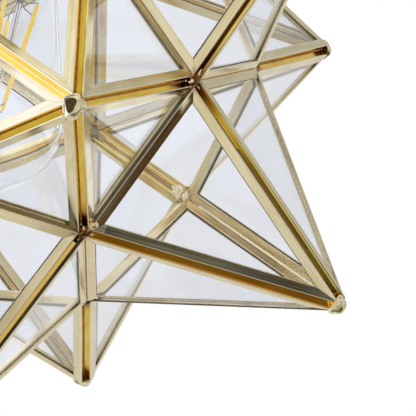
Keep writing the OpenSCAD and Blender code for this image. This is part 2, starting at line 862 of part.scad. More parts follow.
module bulb_filaments() {
    color("gold") at_star()
        for (f = FILAMENTS)
            rotate([0, 0, f[0]]) translate([filament_out, 0, spider_z - f[1]])
                rotate([0, 180 + filament_lean, 0]) cylinder(r = filament_r, h = filament_len);
}

// Support wire from a filament's end in to the rod
module support_wire(out, z, rise) {
    reach = out - rod_r - 0.4;
    translate([out, 0, z]) rotate([0, -atan2(reach, rise), 0]) cylinder(r = lead_r, h = norm([reach, rise]));
}

module bulb_wires() {
    color("gray") at_star()
        for (f = FILAMENTS) rotate([0, 0, f[0]]) {
            top = spider_z - f[1];
            support_wire(filament_out, top + lead_r + 0.05, f[1] + 1);
            support_wire(filament_in, top - filament_drop - lead_r - 0.1, -1.2);
        }
}

canopy();
crossbar();
canopy_studs();
canopy_nuts();
ground_screw();
ground_wire();
wire_connectors();
live_wire();
neutral_wire();
threaded_tube();
lock_nuts();
stem_collar();
stem_sleeve();
top_cap();
frame_top();
point_frame(upper(0));  // frame_upper_1
point_frame(upper(1));  // frame_upper_2
point_frame(upper(2));  // frame_upper_3
point_frame(upper(3));  // frame_upper_4
point_frame(upper(4));  // frame_upper_5
point_frame(lower(0));  // frame_lower_1
point_frame(lower(1));  // frame_lower_2
point_frame(lower(2));  // frame_lower_3
point_frame(lower(3));  // frame_lower_4
point_frame(BOTTOM);  // frame_bottom
point_frame(lower(4), door_gap);  // door_frame
glass_top();
point_glass(upper(0));  // glass_upper_1
point_glass(upper(1));  // glass_upper_2
point_glass(upper(2));  // glass_upper_3
point_glass(upper(3));  // glass_upper_4
point_glass(upper(4));  // glass_upper_5
point_glass(lower(0));  // glass_lower_1
point_glass(lower(1));  // glass_lower_2
point_glass(lower(2));  // glass_lower_3
point_glass(lower(3));  // glass_lower_4
point_glass(BOTTOM);  // glass_bottom
point_glass(lower(4), door_gap);  // door_glass
tip_solder();
valley_solder();
door_tip_solder();
hinge_fixed_leaf();
hinge_door_leaf();
hinge_pin();
catch_holder();
catch_magnet();
catch_plate();
socket_cup();
socket_ceramic();
socket_shell();
socket_contact();
socket_screws();
bulb_glass();
bulb_screw();
bulb_insulator();
bulb_contact();
bulb_mount();
bulb_filaments();
bulb_wires();
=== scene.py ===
"""Star semi-flush ceiling light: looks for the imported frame.

Twelve glass points round a filament bulb. Every pane sits in its own folded brass channel, and the channels
are soldered at the tips and where three points meet. Lengths are metres; MM turns millimetres into metres.
"""
import itertools
import math
import random

import bmesh
import bpy
from mathutils import Matrix, Vector, noise


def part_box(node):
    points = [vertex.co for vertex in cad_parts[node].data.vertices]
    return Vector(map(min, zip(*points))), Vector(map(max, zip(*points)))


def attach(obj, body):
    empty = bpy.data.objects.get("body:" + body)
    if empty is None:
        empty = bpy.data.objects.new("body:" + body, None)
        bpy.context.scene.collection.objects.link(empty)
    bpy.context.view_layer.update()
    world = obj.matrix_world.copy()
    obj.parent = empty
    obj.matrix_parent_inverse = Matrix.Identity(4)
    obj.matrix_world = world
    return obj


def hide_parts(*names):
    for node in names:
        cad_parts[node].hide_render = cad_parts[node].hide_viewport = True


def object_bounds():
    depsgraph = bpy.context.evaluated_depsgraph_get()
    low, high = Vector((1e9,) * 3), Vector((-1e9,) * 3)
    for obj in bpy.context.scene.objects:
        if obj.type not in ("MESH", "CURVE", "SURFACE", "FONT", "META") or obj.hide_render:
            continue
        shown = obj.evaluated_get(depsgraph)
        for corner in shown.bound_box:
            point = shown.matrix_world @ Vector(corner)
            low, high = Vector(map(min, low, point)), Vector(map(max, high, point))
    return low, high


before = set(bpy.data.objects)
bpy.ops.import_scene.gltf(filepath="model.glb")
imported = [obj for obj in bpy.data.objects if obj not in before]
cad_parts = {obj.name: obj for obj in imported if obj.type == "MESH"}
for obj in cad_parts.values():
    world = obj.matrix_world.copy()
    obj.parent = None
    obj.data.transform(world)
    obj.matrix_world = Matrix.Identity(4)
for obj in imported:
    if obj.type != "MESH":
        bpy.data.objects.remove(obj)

cad_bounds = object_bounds()
MM = 0.001
# How near counts as the same: a factor for lengths, metres for places and for planes that cut a mesh
NEARLY = 1.01
HAIR = 1e-6
PLANE_HAIR = 1e-7

# Sizes, the same as the part's source
BASE_EDGE = 80 * MM
TIP_RADIUS = 192 * MM
GLASS_T = 2.6 * MM
GLASS_PLAY = 0.1 * MM
CAME_WALL = 0.6 * MM
CAME_LIP = 4.2 * MM
CAME_GAP = 0.1 * MM
MITRE_GAP = 0.08 * MM
VALLEY_BEAD_R = 4.0 * MM
DOOR_BEAD_R = 2.6 * MM
DOOR_GAP = 0.3 * MM
TOP_CUT = 18 * MM
FILAMENT_LEN = 50 * MM
FILAMENT_R = 0.9 * MM
FILAMENT_OUT = 10.5 * MM
FILAMENT_IN = 5.5 * MM
SPIDER_Z = 30 * MM
ROD_R = 1.2 * MM
LEAD_R = 0.25 * MM
# Turn of each filament about the bulb's axis, and its upper end's drop below the knot of support wires
FILAMENTS = ((-49, 1 * MM), (30, 2 * MM), (99, 4 * MM), (218, 2.5 * MM))

GOLDEN = (1 + math.sqrt(5)) / 2
POLE_ANGLE = math.degrees(math.acos(1 / math.sqrt(5)))
EDGE_HALF = (180 - POLE_ANGLE) / 2
FIFTH = 72
TENTH = 36
LOWER_AZ = -90
UPPER_AZ = -54
FACE_CIRCUM = BASE_EDGE / (2 * math.sin(math.radians(TENTH)))
FACE_IN = BASE_EDGE / (2 * math.tan(math.radians(TENTH)))
BODY_IN = FACE_IN * GOLDEN
PYRAMID_H = TIP_RADIUS - BODY_IN
SLANT = math.hypot(PYRAMID_H, FACE_IN)
LEAN = math.atan2(PYRAMID_H, FACE_IN)
TIP_HALF = math.atan2(BASE_EDGE / 2, SLANT)
FOOT_HALF = (math.pi / 2 - TIP_HALF) / 2
RIDGE_TURN = math.acos(math.sin(LEAN) ** 2 * math.cos(math.radians(FIFTH)) + math.cos(LEAN) ** 2)
RIDGE_HALF = (math.pi - RIDGE_TURN) / 2
VALLEY_HALF = math.pi - math.radians(EDGE_HALF) - LEAN
CAME_T = GLASS_T + 2 * (GLASS_PLAY + CAME_WALL)
RIDGE_INSET = CAME_T / 2 / math.tan(RIDGE_HALF) + CAME_GAP / 2
VALLEY_INSET = CAME_T / 2 / math.tan(VALLEY_HALF) + CAME_GAP / 2
RIDGE_DEPTH = CAME_T / 2 / math.sin(RIDGE_HALF)
VALLEY_OUT = CAME_T / 2 / math.sin(VALLEY_HALF)
STAR = Vector((0, 0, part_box("tip_solder")[0].z + TIP_RADIUS))

# Tilt from +Z, turn about Z and turn about the point's own axis, in degrees
POINTS = {"frame_top": (0, UPPER_AZ, 0)}
POINTS.update({f"frame_upper_{k + 1}": (POLE_ANGLE, UPPER_AZ + FIFTH * k, 180) for k in range(5)})
POINTS.update({f"frame_lower_{k + 1}": (180 - POLE_ANGLE, LOWER_AZ + FIFTH * k, 0) for k in range(4)})
POINTS["door_frame"] = (180 - POLE_ANGLE, LOWER_AZ + FIFTH * 4, 0)
POINTS["frame_bottom"] = (180, LOWER_AZ + 180, 0)


def turn(degrees, axis):
    return Matrix.Rotation(math.radians(degrees), 4, axis)


def in_point(tilt, about_z, about_self):
    """Point frame: z along the point's axis, away from the middle of the star."""
    return Matrix.Translation(STAR) @ turn(about_z, "Z") @ turn(tilt, "Y") @ turn(about_self, "Z")


def on_pane(j):
    """Pane frame inside a point: x along the foot, y up the slope, z outwards."""
    lean = Matrix.Rotation(LEAN, 4, "Y")
    return turn(FIFTH * j, "Z") @ Matrix.Translation((FACE_IN, 0, BODY_IN)) @ lean @ turn(90, "Z")


def body_corners():
    """The twenty places where three points meet, from the middle of the star."""
    rings = (
        (FACE_CIRCUM, UPPER_AZ + TENTH, BODY_IN),
        (FACE_CIRCUM * GOLDEN, UPPER_AZ + TENTH, BODY_IN / GOLDEN ** 3),
        (FACE_CIRCUM * GOLDEN, LOWER_AZ + TENTH, -BODY_IN / GOLDEN ** 3),
        (FACE_CIRCUM, LOWER_AZ + TENTH, -BODY_IN),
    )
    for r, start, z in rings:
        for k in range(5):
            az = math.radians(start + FIFTH * k)
            yield Vector((r * math.cos(az), r * math.sin(az), z))


# Finishes
class Nodes:
    """The nodes of a material or of the world, while they are added."""

    def __init__(self, holder):
        holder.use_nodes = True
        self.tree = holder.node_tree
        self.tree.nodes.clear()

    def node(self, kind, sockets=None, **settings):
        """One node, with each of its sockets given as a value or as another node's output."""
        made = self.tree.nodes.new("ShaderNode" + kind)
        for key, value in settings.items():
            setattr(made, key, value)
        for key, value in (sockets or {}).items():
            if isinstance(value, bpy.types.NodeSocket):
                self.tree.links.new(value, made.inputs[key])
            else:
                made.inputs[key].default_value = value
        return made

    def add(self, kind, sockets=None, **settings):
        """The first output of a new node."""
        return self.node(kind, sockets, **settings).outputs[0]

    def number(self, operation, *values):
        """A number worked out from others."""
        return self.add("Math", dict(enumerate(values)), operation=operation)

    def level(self, factor, low, high, start=0.0, end=1.0, **settings):
        """A number that runs from low to high as the factor runs from start to end."""
        ends = {"From Min": start, "From Max": end, "To Min": low, "To Max": high}
        return self.add("MapRange", {"Value": factor, **ends}, **settings)

    def blend(self, share, under, over):
        """The colour under where share is 0, and the colour over where it is 1."""
        return self.node("Mix", {0: share, 6: under, 7: over}, data_type="RGBA").outputs[2]


class Finish(Nodes):
    """A material being mixed."""

    def __init__(self, name):
        self.material = bpy.data.materials.new(name)
        super().__init__(self.material)

    def place(self, uv=None, scale=(1, 1, 1)):
        """Where the pattern is read: the object's own metres, or one of its UV maps, stretched by scale."""
        read = self.add("UVMap", uv_map=uv) if uv else self.node("TexCoord").outputs["Object"]
        return self.add("Mapping", {"Vector": read, "Scale": scale})

    def told(self, uv):
        """The number that a UV map holds for each place."""
        return self.node("SeparateXYZ", {"Vector": self.add("UVMap", uv_map=uv)}).outputs["X"]

    def grain(self, where, scale, detail=3.0, roughness=0.55, distortion=0.0):
        made = self.node("TexNoise", {
            "Vector": where, "Scale": scale, "Detail": detail,
            "Roughness": roughness, "Distortion": distortion,
        })
        return made.outputs["Fac"]

    def ramp(self, factor, *stops):
        """Colours along a factor: each stop is a place from 0 to 1 and a colour or a grey level."""
        made = self.node("ValToRGB", {"Fac": factor})
        line = made.color_ramp
        while len(line.elements) < len(stops):
            line.elements.new(0.5)
        for element, (place, colour) in zip(line.elements, stops):
            element.position = place
            element.color = (colour, colour, colour, 1) if isinstance(colour, (int, float)) else (*colour, 1)
        return made.outputs["Color"]

    def bump(self, height, strength, distance, under=None):
        sockets = {"Height": height, "Strength": strength, "Distance": distance}
        if under is not None:
            sockets["Normal"] = under
        return self.add("Bump", sockets)

    def surface(self, sockets, glass=None):
        """The finished surface, where glass is the tint at which lamps shine through a pane."""
        shader = self.add("BsdfPrincipled", sockets)
        if glass:
            clear = self.add("BsdfTransparent", {"Color": (*glass, 1)})
            from_lamp = self.node("LightPath").outputs["Is Shadow Ray"]
            shader = self.add("MixShader", {0: from_lamp, 1: shader, 2: clear})
        self.node("OutputMaterial", {"Surface": shader})
        return self.material


# Grain of a channel's brass, along it and across it: drawn streaks, clouds and a slow swell
STREAKS = (14, 900, 1)
CLOUDS = (45, 160, 1)
SWELL = (14, 30, 1)


def came_finish(name, pale, deep, low_rough, high_rough, wave=0.0, burnt=None, reach=(0, 1)):
    """Drawn brass: long streaks along the channel, and ends browned by heat.

    The UV map "along" holds metres along the channel and across it, and "ends" holds metres from a burnt end.
    The height of the swell and the reach of the heat, full and fading, are millimetres.
    """
    f = Finish(name)
    streaks = f.grain(f.place("along", STREAKS), 1.0, detail=4.0)
    clouds = f.grain(f.place("along", CLOUDS), 1.0, detail=2.0)
    colour = f.ramp(f.number("MULTIPLY", streaks, clouds), (0.12, deep), (0.34, pale))
    if burnt:
        full, fading = reach
        ragged = f.number("MULTIPLY_ADD", clouds, 0.6 * fading * MM, f.told("ends"))
        heat = f.level(ragged, 1.0, 0.0, (full + 0.2 * fading) * MM, 1.1 * fading * MM)
        colour = f.blend(heat, colour, (*burnt, 1))
    rough = f.level(streaks, low_rough, high_rough, 0.3, 0.7)
    swell = f.grain(f.place("along", SWELL), 1.0, detail=1.0)
    normal = f.bump(swell, 1.0, wave * MM)
    normal = f.bump(streaks, 0.25, 0.03 * MM, under=normal)
    return f.surface({"Base Color": colour, "Metallic": 1.0, "Roughness": rough, "Normal": normal})


def solder_finish():
    """Brazed bead of bright pale metal, burnt brown and black, and darker towards a bead's middle, where its
    UV map says so.
    """
    f = Finish("solder_bead")
    where = f.place()
    burn = f.grain(where, 420, detail=3.0, roughness=0.6, distortion=0.4)
    mixed = f.number("ADD", burn, f.told("burn"))
    colour = f.ramp(
        mixed,
        (0.56, (0.94, 0.87, 0.66)),
        (0.72, (0.78, 0.58, 0.26)),
        (0.88, (0.30, 0.14, 0.03)),
        (1.0, (0.06, 0.025, 0.01)),
    )
    lumps = f.grain(where, 700, detail=2.0)
    return f.surface({
        "Base Color": colour,
        "Metallic": 1.0,
        "Roughness": f.level(mixed, 0.12, 0.32, 0.5, 1.0),
        "Normal": f.bump(lumps, 0.35, 0.15 * MM),
    })


def nugget_finish():
    """Tip of a point: a smooth pale cap with a few soft stains."""
    f = Finish("tip_cap")
    where = f.place()
    stains = f.grain(where, 170, detail=3.0, roughness=0.5)
    colour = f.ramp(stains, (0.30, (0.42, 0.30, 0.12)), (0.42, (0.82, 0.73, 0.44)), (0.7, (0.90, 0.83, 0.58)))
    return f.surface({
        "Base Color": colour,
        "Metallic": 1.0,
        "Roughness": f.level(stains, 0.2, 0.1, 0.3, 0.6),
        "Normal": f.bump(f.grain(where, 330, detail=2.0), 0.3, 0.2 * MM),
    })


# Share of its tint at which a pane lets the light of lamps through
LAMP_SHARE = 0.96


def pane_finish(name, tint, ripple, ior):
    """Float glass: clear, a little cool, with a slow ripple."""
    f = Finish(name)
    waves = f.grain(f.place(), 26, detail=1.0)
    normal = f.bump(waves, 0.35, ripple * MM)
    return f.surface({
        "Base Color": (*tint, 1),
        "Roughness": 0.0,
        "IOR": ior,
        "Transmission Weight": 1.0,
        "Normal": normal,
    }, glass=tuple(c * LAMP_SHARE for c in tint))


def brass_finish(name, colour, dark, turned=False):
    """Plain or lathe-turned brass with faint stains."""
    f = Finish(name)
    where = f.place()
    stains = f.grain(where, 70, detail=4.0)
    tone = f.ramp(stains, (0.3, dark), (0.55, colour))
    if turned:
        parts = f.node("SeparateXYZ", {"Vector": where})
        across = f.add("CombineXYZ", {"X": parts.outputs["X"], "Y": parts.outputs["Y"]})
        far = f.node("VectorMath", {0: across}, operation="LENGTH").outputs["Value"]
        rings = f.add("CombineXYZ", {"X": far, "Z": parts.outputs["Z"]})
        lines = f.grain(rings, 1500, detail=2.0)
    else:
        lines = f.grain(f.place(scale=(300, 300, 2500)), 1.0, detail=2.0)
    return f.surface({
        "Base Color": tone,
        "Metallic": 1.0,
        "Roughness": f.level(lines, 0.1, 0.2, 0.3, 0.7),
        "Normal": f.bump(lines, 0.07, 0.01 * MM),
    })


def metal_finish(name, colour, dark, scale, rough):
    """Plated steel or nickel with a spangled or wiped tone."""
    f = Finish(name)
    where = f.place()
    mottle = f.grain(where, scale, detail=5.0, roughness=0.65)
    return f.surface({
        "Base Color": f.ramp(mottle, (0.35, dark), (0.65, colour)),
        "Metallic": 1.0,
        "Roughness": f.level(mottle, rough, rough + 0.14, 0.3, 0.7),
        "Normal": f.bump(mottle, 0.2, 0.03 * MM),
    })


def coat_finish(name, colour, dark, scale, rough, depth=0.03, metallic=0.0, shine=0.5):
    """Insulation, moulded plastic, glaze or paint: a fine mottle over an even colour."""
    f = Finish(name)
    mottle = f.grain(f.place(), scale, detail=3.0)
    return f.surface({
        "Base Color": f.ramp(mottle, (0.3, dark), (0.6, colour)),
        "Metallic": metallic,
        "Specular IOR Level": shine,
        "Roughness": f.level(mottle, rough, rough + 0.12, 0.3, 0.7),
        "Normal": f.bump(mottle, 0.3, depth * MM),
    })


CHIP_PITCH = 1.6 * MM


def phosphor_finish():
    """Yellow phosphor on a filament strip, with the chips under it as a faint row of darker dots, and a
    painted glow.
    """
    f = Finish("phosphor")
    where = f.place()
    height = f.node("SeparateXYZ", {"Vector": where}).outputs["Z"]
    chips = f.number("SINE", f.number("MULTIPLY", height, 2 * math.pi / CHIP_PITCH))
    row = f.level(chips, 0.0, 1.0, -1.0, 1.0)
    mottle = f.grain(where, 900)
    colour = f.ramp(f.number("MULTIPLY", row, mottle), (0.05, (0.86, 0.54, 0.05)), (0.45, (0.95, 0.70, 0.14)))
    return f.surface({
        "Base Color": colour,
        "Roughness": 0.55,
        # Painted glow: the strip gives off a little light of its own, as if it were lit
        "Emission Color": (1.0, 0.70, 0.12, 1),
        "Emission Strength": 0.62,
        "Normal": f.bump(mottle, 0.3, 0.05 * MM),
    })


lip_brass = came_finish("came_lip", (0.93, 0.83, 0.54), (0.78, 0.64, 0.34), 0.08, 0.18, wave=1.0,
                        burnt=(0.34, 0.22, 0.08), reach=(0, 5))
# Webs: a deeper, more saturated gold than the lips, a painted reflection that stands for the light bouncing
# between the two webs of a groove
web_painted_gold_brass = came_finish("came_web_painted_gold", (0.95, 0.79, 0.27), (0.80, 0.58, 0.14), 0.07, 0.14, wave=1.4,
                        burnt=(0.36, 0.16, 0.03), reach=(7, 26))
inside_brass = came_finish("came_inside", (0.80, 0.70, 0.46), (0.45, 0.33, 0.15), 0.2, 0.35)
cut_brass = came_finish("came_cut", (0.42, 0.28, 0.1), (0.1, 0.05, 0.02), 0.3, 0.5)
seam_brass = coat_finish("came_seam", (0.50, 0.20, 0.025), (0.16, 0.05, 0.008), 500, 0.45, shine=0.1)
# Folds: pale polished brass, partly wear and partly a painted highlight along each fold; also used as a
# painted highlight on chosen inner faces and on one inner strip
edge_wear_and_highlight_brass = came_finish("came_edge_wear_and_highlight", (0.97, 0.90, 0.68), (0.88, 0.76, 0.46), 0.2, 0.32)
# Bright yellow brass on single webs and lips and on one ridge's seam: a painted reflection
painted_yellow_brass = came_finish("came_painted_yellow", (1.0, 0.87, 0.42), (0.95, 0.78, 0.29), 0.1, 0.18, wave=1.0)
# Near-black brass on single webs, lips and folds: a painted dark reflection
painted_dark_brass = came_finish("came_painted_dark_reflection", (0.09, 0.065, 0.035), (0.025, 0.016, 0.008), 0.12, 0.26, wave=1.0)
# Deep amber brass on single webs and in one ridge's groove: a painted reflection
painted_amber_brass = came_finish("came_painted_amber", (0.95, 0.66, 0.18), (0.78, 0.47, 0.09), 0.07, 0.14, wave=1.4)
tip_brass = nugget_finish()
solder = solder_finish()
pane_glass = pane_finish("pane_glass", (0.893, 0.907, 0.937), 0.04, 1.45)
blown_glass = pane_finish("blown_glass", (0.975, 0.98, 0.985), 0.03, 1.14)
turned_brass = brass_finish("turned_brass", (0.84, 0.66, 0.33), (0.68, 0.48, 0.2), turned=True)
plain_brass = brass_finish("plain_brass", (0.80, 0.60, 0.27), (0.6, 0.4, 0.15))
zinc_steel = metal_finish("zinc_steel", (0.66, 0.67, 0.69), (0.46, 0.47, 0.5), 160, 0.28)
nickel = metal_finish("nickel", (0.76, 0.74, 0.70), (0.62, 0.6, 0.55), 220, 0.14)
lead_wire = metal_finish("lead_wire", (0.42, 0.42, 0.43), (0.25, 0.25, 0.26), 900, 0.25)
green_screw = coat_finish("green_screw", (0.03, 0.26, 0.06), (0.015, 0.16, 0.04), 240, 0.25, metallic=0.6)
green_wire = coat_finish("green_wire", (0.02, 0.22, 0.05), (0.012, 0.16, 0.035), 500, 0.35)
black_wire = coat_finish("black_wire", (0.02, 0.02, 0.02), (0.01, 0.01, 0.01), 500, 0.35)
white_wire = coat_finish("white_wire", (0.8, 0.8, 0.77), (0.7, 0.7, 0.67), 500, 0.35)
orange_plastic = coat_finish("connector_plastic", (0.78, 0.2, 0.02), (0.62, 0.14, 0.015), 420, 0.42,
                             depth=0.06)
ceramic = coat_finish("ceramic", (0.83, 0.82, 0.77), (0.74, 0.72, 0.66), 120, 0.16, depth=0.08)
black_glass = coat_finish("black_glass", (0.02, 0.02, 0.025), (0.01, 0.01, 0.012), 300, 0.08)
phosphor = phosphor_finish()


# New pieces
def piece(name, bm, materials, body, replaces, crease):
    """Makes an object of a finished bmesh, with its place in its mesh, on its body, and hides the nodes it
    stands for.
    """
    low, high = cad_bounds
    for vert in bm.verts:
        vert.co = Vector([max(a, min(b, at)) for a, at, b in zip(low, vert.co, high)])
    for edge in bm.edges:
        edge.smooth = len(edge.link_faces) == 2 and edge.calc_face_angle(0) < math.radians(crease)
    mesh = bpy.data.meshes.new(name)
    bm.to_mesh(mesh)
    bm.free()
    for material in materials:
        mesh.materials.append(material)
    for polygon in mesh.polygons:
        polygon.use_smooth = True
    made = bpy.data.objects.new(name, mesh)
    bpy.context.scene.collection.objects.link(made)
    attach(made, body)
    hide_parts(*replaces)


def bevel(bm, edges, offset, segments):
    bmesh.ops.bevel(bm, geom=edges, offset=offset, offset_type="OFFSET", segments=segments, profile=0.5,
                    affect="EDGES", material=-1)


def cut_away(bm, co, normal):
    """Saws the mesh through a plane, drops what is on the normal's side and closes the end."""
    geom = bm.verts[:] + bm.edges[:] + bm.faces[:]
    bmesh.ops.bisect_plane(bm, geom=geom, dist=PLANE_HAIR, plane_co=co, plane_no=normal, clear_outer=True)
    open_edges = [e for e in bm.edges if len(e.link_faces) == 1]
    if open_edges:
        bmesh.ops.holes_fill(bm, edges=open_edges, sides=0)


# Finishes of a channel's faces, as places in METALS
LIP, WEB, INSIDE, CUT, SEAM, EDGE, FOOT, DARK_REFLECTION, AMBER = range(9)
METALS = (
    lip_brass, web_painted_gold_brass, inside_brass, cut_brass, seam_brass,
    edge_wear_and_highlight_brass, painted_yellow_brass, painted_dark_brass, painted_amber_brass,
)
FOLD_R = 0.45 * MM
LIP_EDGE_R = 0.12 * MM

# Single lengths of channel are named by node, pane and side, where side 0 is the foot.
# Outer lips that stand off their pane: the slant in degrees, positive with the free edge out
SLANTED_LIPS = {
    ("frame_lower_2", 4, 1): 5.0,
    ("frame_lower_2", 4, 0): -6.0,
    ("frame_lower_1", 1, 0): -7.0,
}
# Lips that were trimmed narrower than the rest
NARROW_LIPS = {
    ("frame_lower_2", 3, 2): 2.2 * MM,
    ("frame_lower_2", 2, 1): 1.5 * MM,
    ("frame_lower_2", 1, 2): 1.5 * MM,
    ("frame_lower_2", 0, 1): 1.8 * MM,
    ("frame_upper_2", 2, 1): 2.4 * MM,
    ("frame_upper_2", 3, 2): 1.8 * MM,
    ("frame_upper_2", 3, 0): 2.6 * MM,
}
# Faces painted darker, brighter, paler or yellower than on the other lengths: painted dark, yellow and amber
# reflections, and on the pale insides a painted highlight
PALE_INSIDE = {"inner lip": EDGE, "inside": EDGE}
PAINTED_REFLECTIONS = {
    ("frame_bottom", 4, 1): {"web": DARK_REFLECTION},
    ("frame_lower_1", 0, 2): PALE_INSIDE,
    ("frame_lower_1", 1, 0): {"web": DARK_REFLECTION, "outer lip": DARK_REFLECTION, "outer fold": DARK_REFLECTION},
    ("frame_lower_1", 2, 0): {"web": DARK_REFLECTION},
    ("frame_lower_1", 3, 1): {"web": FOOT, **PALE_INSIDE},
    ("frame_lower_1", 4, 1): PALE_INSIDE,
    ("frame_lower_1", 4, 2): {"web": FOOT, **PALE_INSIDE},
    ("frame_lower_2", 0, 1): {"outer lip": DARK_REFLECTION, "inner lip": DARK_REFLECTION},
    ("frame_lower_2", 0, 2): {"web": AMBER},
    ("frame_lower_2", 4, 0): {"web": DARK_REFLECTION},
    ("frame_lower_2", 4, 1): {"web": AMBER},
    ("frame_lower_3", 3, 0): {"web": FOOT, "inner lip": FOOT},
    ("frame_upper_1", 2, 0): {"web": DARK_REFLECTION},
    ("frame_upper_2", 3, 0): {"web": FOOT, "inner lip": FOOT},
    ("frame_upper_3", 1, 1): PALE_INSIDE,
    ("frame_upper_3", 2, 2): PALE_INSIDE,
}

# Seam between two lengths of channel: its width, how deep it lies, and how far from a ridge's ends it stops
SEAM_W = 0.36 * MM
SEAM_DEEP = 0.14 * MM
SEAM_FROM_FOOT = 3 * MM
SEAM_FROM_TIP = 5 * MM
VALLEY_SEAM_DEEP = 1.3 * SEAM_W
# Ridges, by node and pane, whose seam is painted in the bright yellow of a painted reflection instead of the
# dark seam colour
YELLOW_PAINTED_SEAMS = {("frame_lower_1", 3)}
# Ridges with strips of colour laid in their groove, dark like a cut end or amber like the painted
# reflections: from and to, as shares of the ridge, how wide, how far above the seam and of what
GROOVE_STRIPS = {
    ("frame_lower_2", 3): ((0.16, 0.86, 1.0 * MM, 0.5 * MM, CUT), (0.3, 0.74, 1.7 * MM, 1.05 * MM, CUT)),
    ("frame_bottom", 4): ((0.05, 0.97, 2.8 * MM, 1.95 * MM, AMBER),),
}
# Ridges with a pale strip along their inside, a painted highlight, and where it starts, stops and lies
INNER_HIGHLIGHTS = {("frame_lower_2", 1)}
INNER_HIGHLIGHT_W = 1.3 * MM
INNER_HIGHLIGHT_DEEP = 0.3 * SEAM_W
INNER_FROM_FOOT = 12 * MM
INNER_FROM_TIP = 14 * MM

# Degrees by which a lip's slant strays from length to length, at its ends and near its middle, and by which a
# web's twist does
SLANT_STRAY = 0.8
END_STRAY = 4
BEND_STRAY = 0.7
TWIST_STRAY = 1.6
# Places where a slant is set, from either end, and how much of an end's stray is left at the second of them
SLANT_AT = (0.0, 3 * MM, 7 * MM, 14 * MM)
END_LEFT = 0.7
# Less heat reached the tips, so the way from them counts as this many times as long
TIP_COOLER = 3
# How far the streaks are shifted from point to point, pane to pane and side to side, and across the channel
POINT_SHIFT = 1.7
PANE_SHIFT = 0.31
SIDE_SHIFT = 0.13
ACROSS_SHIFT = 0.37


def stray(degrees):
    """A random turn, at most this much either way."""
    return chance.uniform(-degrees, degrees)


def slants(length, given):
    """Slant of a lip's outer face at places along it: nearly even in the middle, freer at the ends."""
    middle = stray(SLANT_STRAY) if given is None else given
    places = [*SLANT_AT, length / 2, *(length - at for at in reversed(SLANT_AT))]
    first = stray(END_STRAY)
    last = stray(END_STRAY)
    second = middle + stray(BEND_STRAY)
    third = middle + stray(BEND_STRAY)
    bends = [
        middle + first, middle + first * END_LEFT, second, second,
        middle,
        third, third, middle + last * END_LEFT, middle + last,
    ]
    return places, bends


def rail(length, start_half, end_half, shift, given, lip):
    """One length of channel: x along it, y inwards from the web's outer face, z across the pane."""
    half, wall = CAME_T / 2, CAME_WALL
    outline = [
        (lip, -half), (0, -half), (0, half), (lip, half),
        (lip, half - wall), (wall, half - wall), (wall, wall - half), (lip, wall - half),
    ]
    bm = bmesh.new()
    end = bm.faces.new([bm.verts.new((0, y, z)) for y, z in outline])
    grown = bmesh.ops.extrude_face_region(bm, geom=[end])["geom"]
    bmesh.ops.translate(bm, verts=[g for g in grown if isinstance(g, bmesh.types.BMVert)], vec=(length, 0, 0))
    along = [e for e in bm.edges if abs(e.verts[0].co.x - e.verts[1].co.x) > length / 2]
    folds = [e for e in along if e.verts[0].co.y < HAIR]
    lips = [e for e in along if e.verts[0].co.y > lip - HAIR and abs(e.verts[0].co.z) > half - HAIR]
    bevel(bm, folds, FOLD_R, 3)
    bevel(bm, [e for e in lips if e.is_valid], LIP_EDGE_R, 1)
    places, bends = slants(length, given)
    for x in places[1:-1]:
        bmesh.ops.bisect_plane(bm, geom=bm.verts[:] + bm.edges[:] + bm.faces[:], dist=PLANE_HAIR,
                               plane_co=(x, 0, 0), plane_no=(1, 0, 0))
    twist = [stray(TWIST_STRAY) for _ in places]
    for v in bm.verts:
        k = min(range(len(places)), key=lambda i: abs(places[i] - v.co.x))
        lift = math.tan(math.radians(abs(bends[k])))
        on_outer_lip = v.co.z > half - wall * NEARLY
        if on_outer_lip and v.co.y > FOLD_R * 0.9:
            v.co.z += lift * (v.co.y if bends[k] > 0 else lip - v.co.y)
        elif on_outer_lip and bends[k] < 0:
            v.co.z += lift * lip * v.co.z / half
        elif v.co.y < wall * 0.5:
            v.co.y += math.tan(math.radians(twist[k])) * v.co.z
    gap = MITRE_GAP / 2
    cut_away(bm, (gap / math.sin(start_half), 0, 0), (-math.sin(start_half), math.cos(start_half), 0))
    cut_away(bm, (length - gap / math.sin(end_half), 0, 0), (math.sin(end_half), math.cos(end_half), 0))
    bmesh.ops.recalc_face_normals(bm, faces=bm.faces[:])
    map_channel(bm, length, (start_half, end_half), shift)
    return bm


def map_channel(bm, length, halves, shift):
    """Gives each face of a channel the finish for the way it faces, and the UV maps that finishes read."""
    half, wall = CAME_T / 2, CAME_WALL
    first, last = (TIP_COOLER if at == TIP_HALF else 1 for at in halves)
    uv = bm.loops.layers.uv.new("along")
    ends = bm.loops.layers.uv.new("ends")
    for face in bm.faces:
        n = face.normal
        middle = face.calc_center_median()
        if abs(n.x) > 0.25:
            face.material_index = CUT
        elif n.y < -0.9:
            face.material_index = WEB
        elif n.y < -0.1:
            face.material_index = EDGE
        elif abs(middle.z) > half - wall * 0.4:
            face.material_index = LIP
        else:
            face.material_index = INSIDE
        for loop in face.loops:
            x = loop.vert.co.x
            across = loop.vert.co.z if abs(n.y) > 0.8 else loop.vert.co.y + math.copysign(half * 3, n.z)
            loop[uv].uv = (x + shift, across + shift * ACROSS_SHIFT)
            loop[ends].uv = (min(x * first, (length - x) * last), 0)


def painted_look(face, which):
    """Finish of one face of a channel, with the painted reflection or highlight that the table gives it,
    where which is its node, pane and side.
    """
    usual = face.material_index
    outer = face.normal.z > 0
    if usual == WEB:
        part = "web"
        # The webs at a foot face into the star and take the paler lip brass, without the deeper painted gold
        # of a ridge's webs
        usual = LIP if which[2] == 0 else WEB
    elif usual == LIP:
        part = "outer lip" if outer else "inner lip"
    elif usual == INSIDE:
        part = "inside"
    elif usual == EDGE and outer:
        part = "outer fold"
    else:
        return usual
    return PAINTED_REFLECTIONS.get(which, {}).get(part, usual)


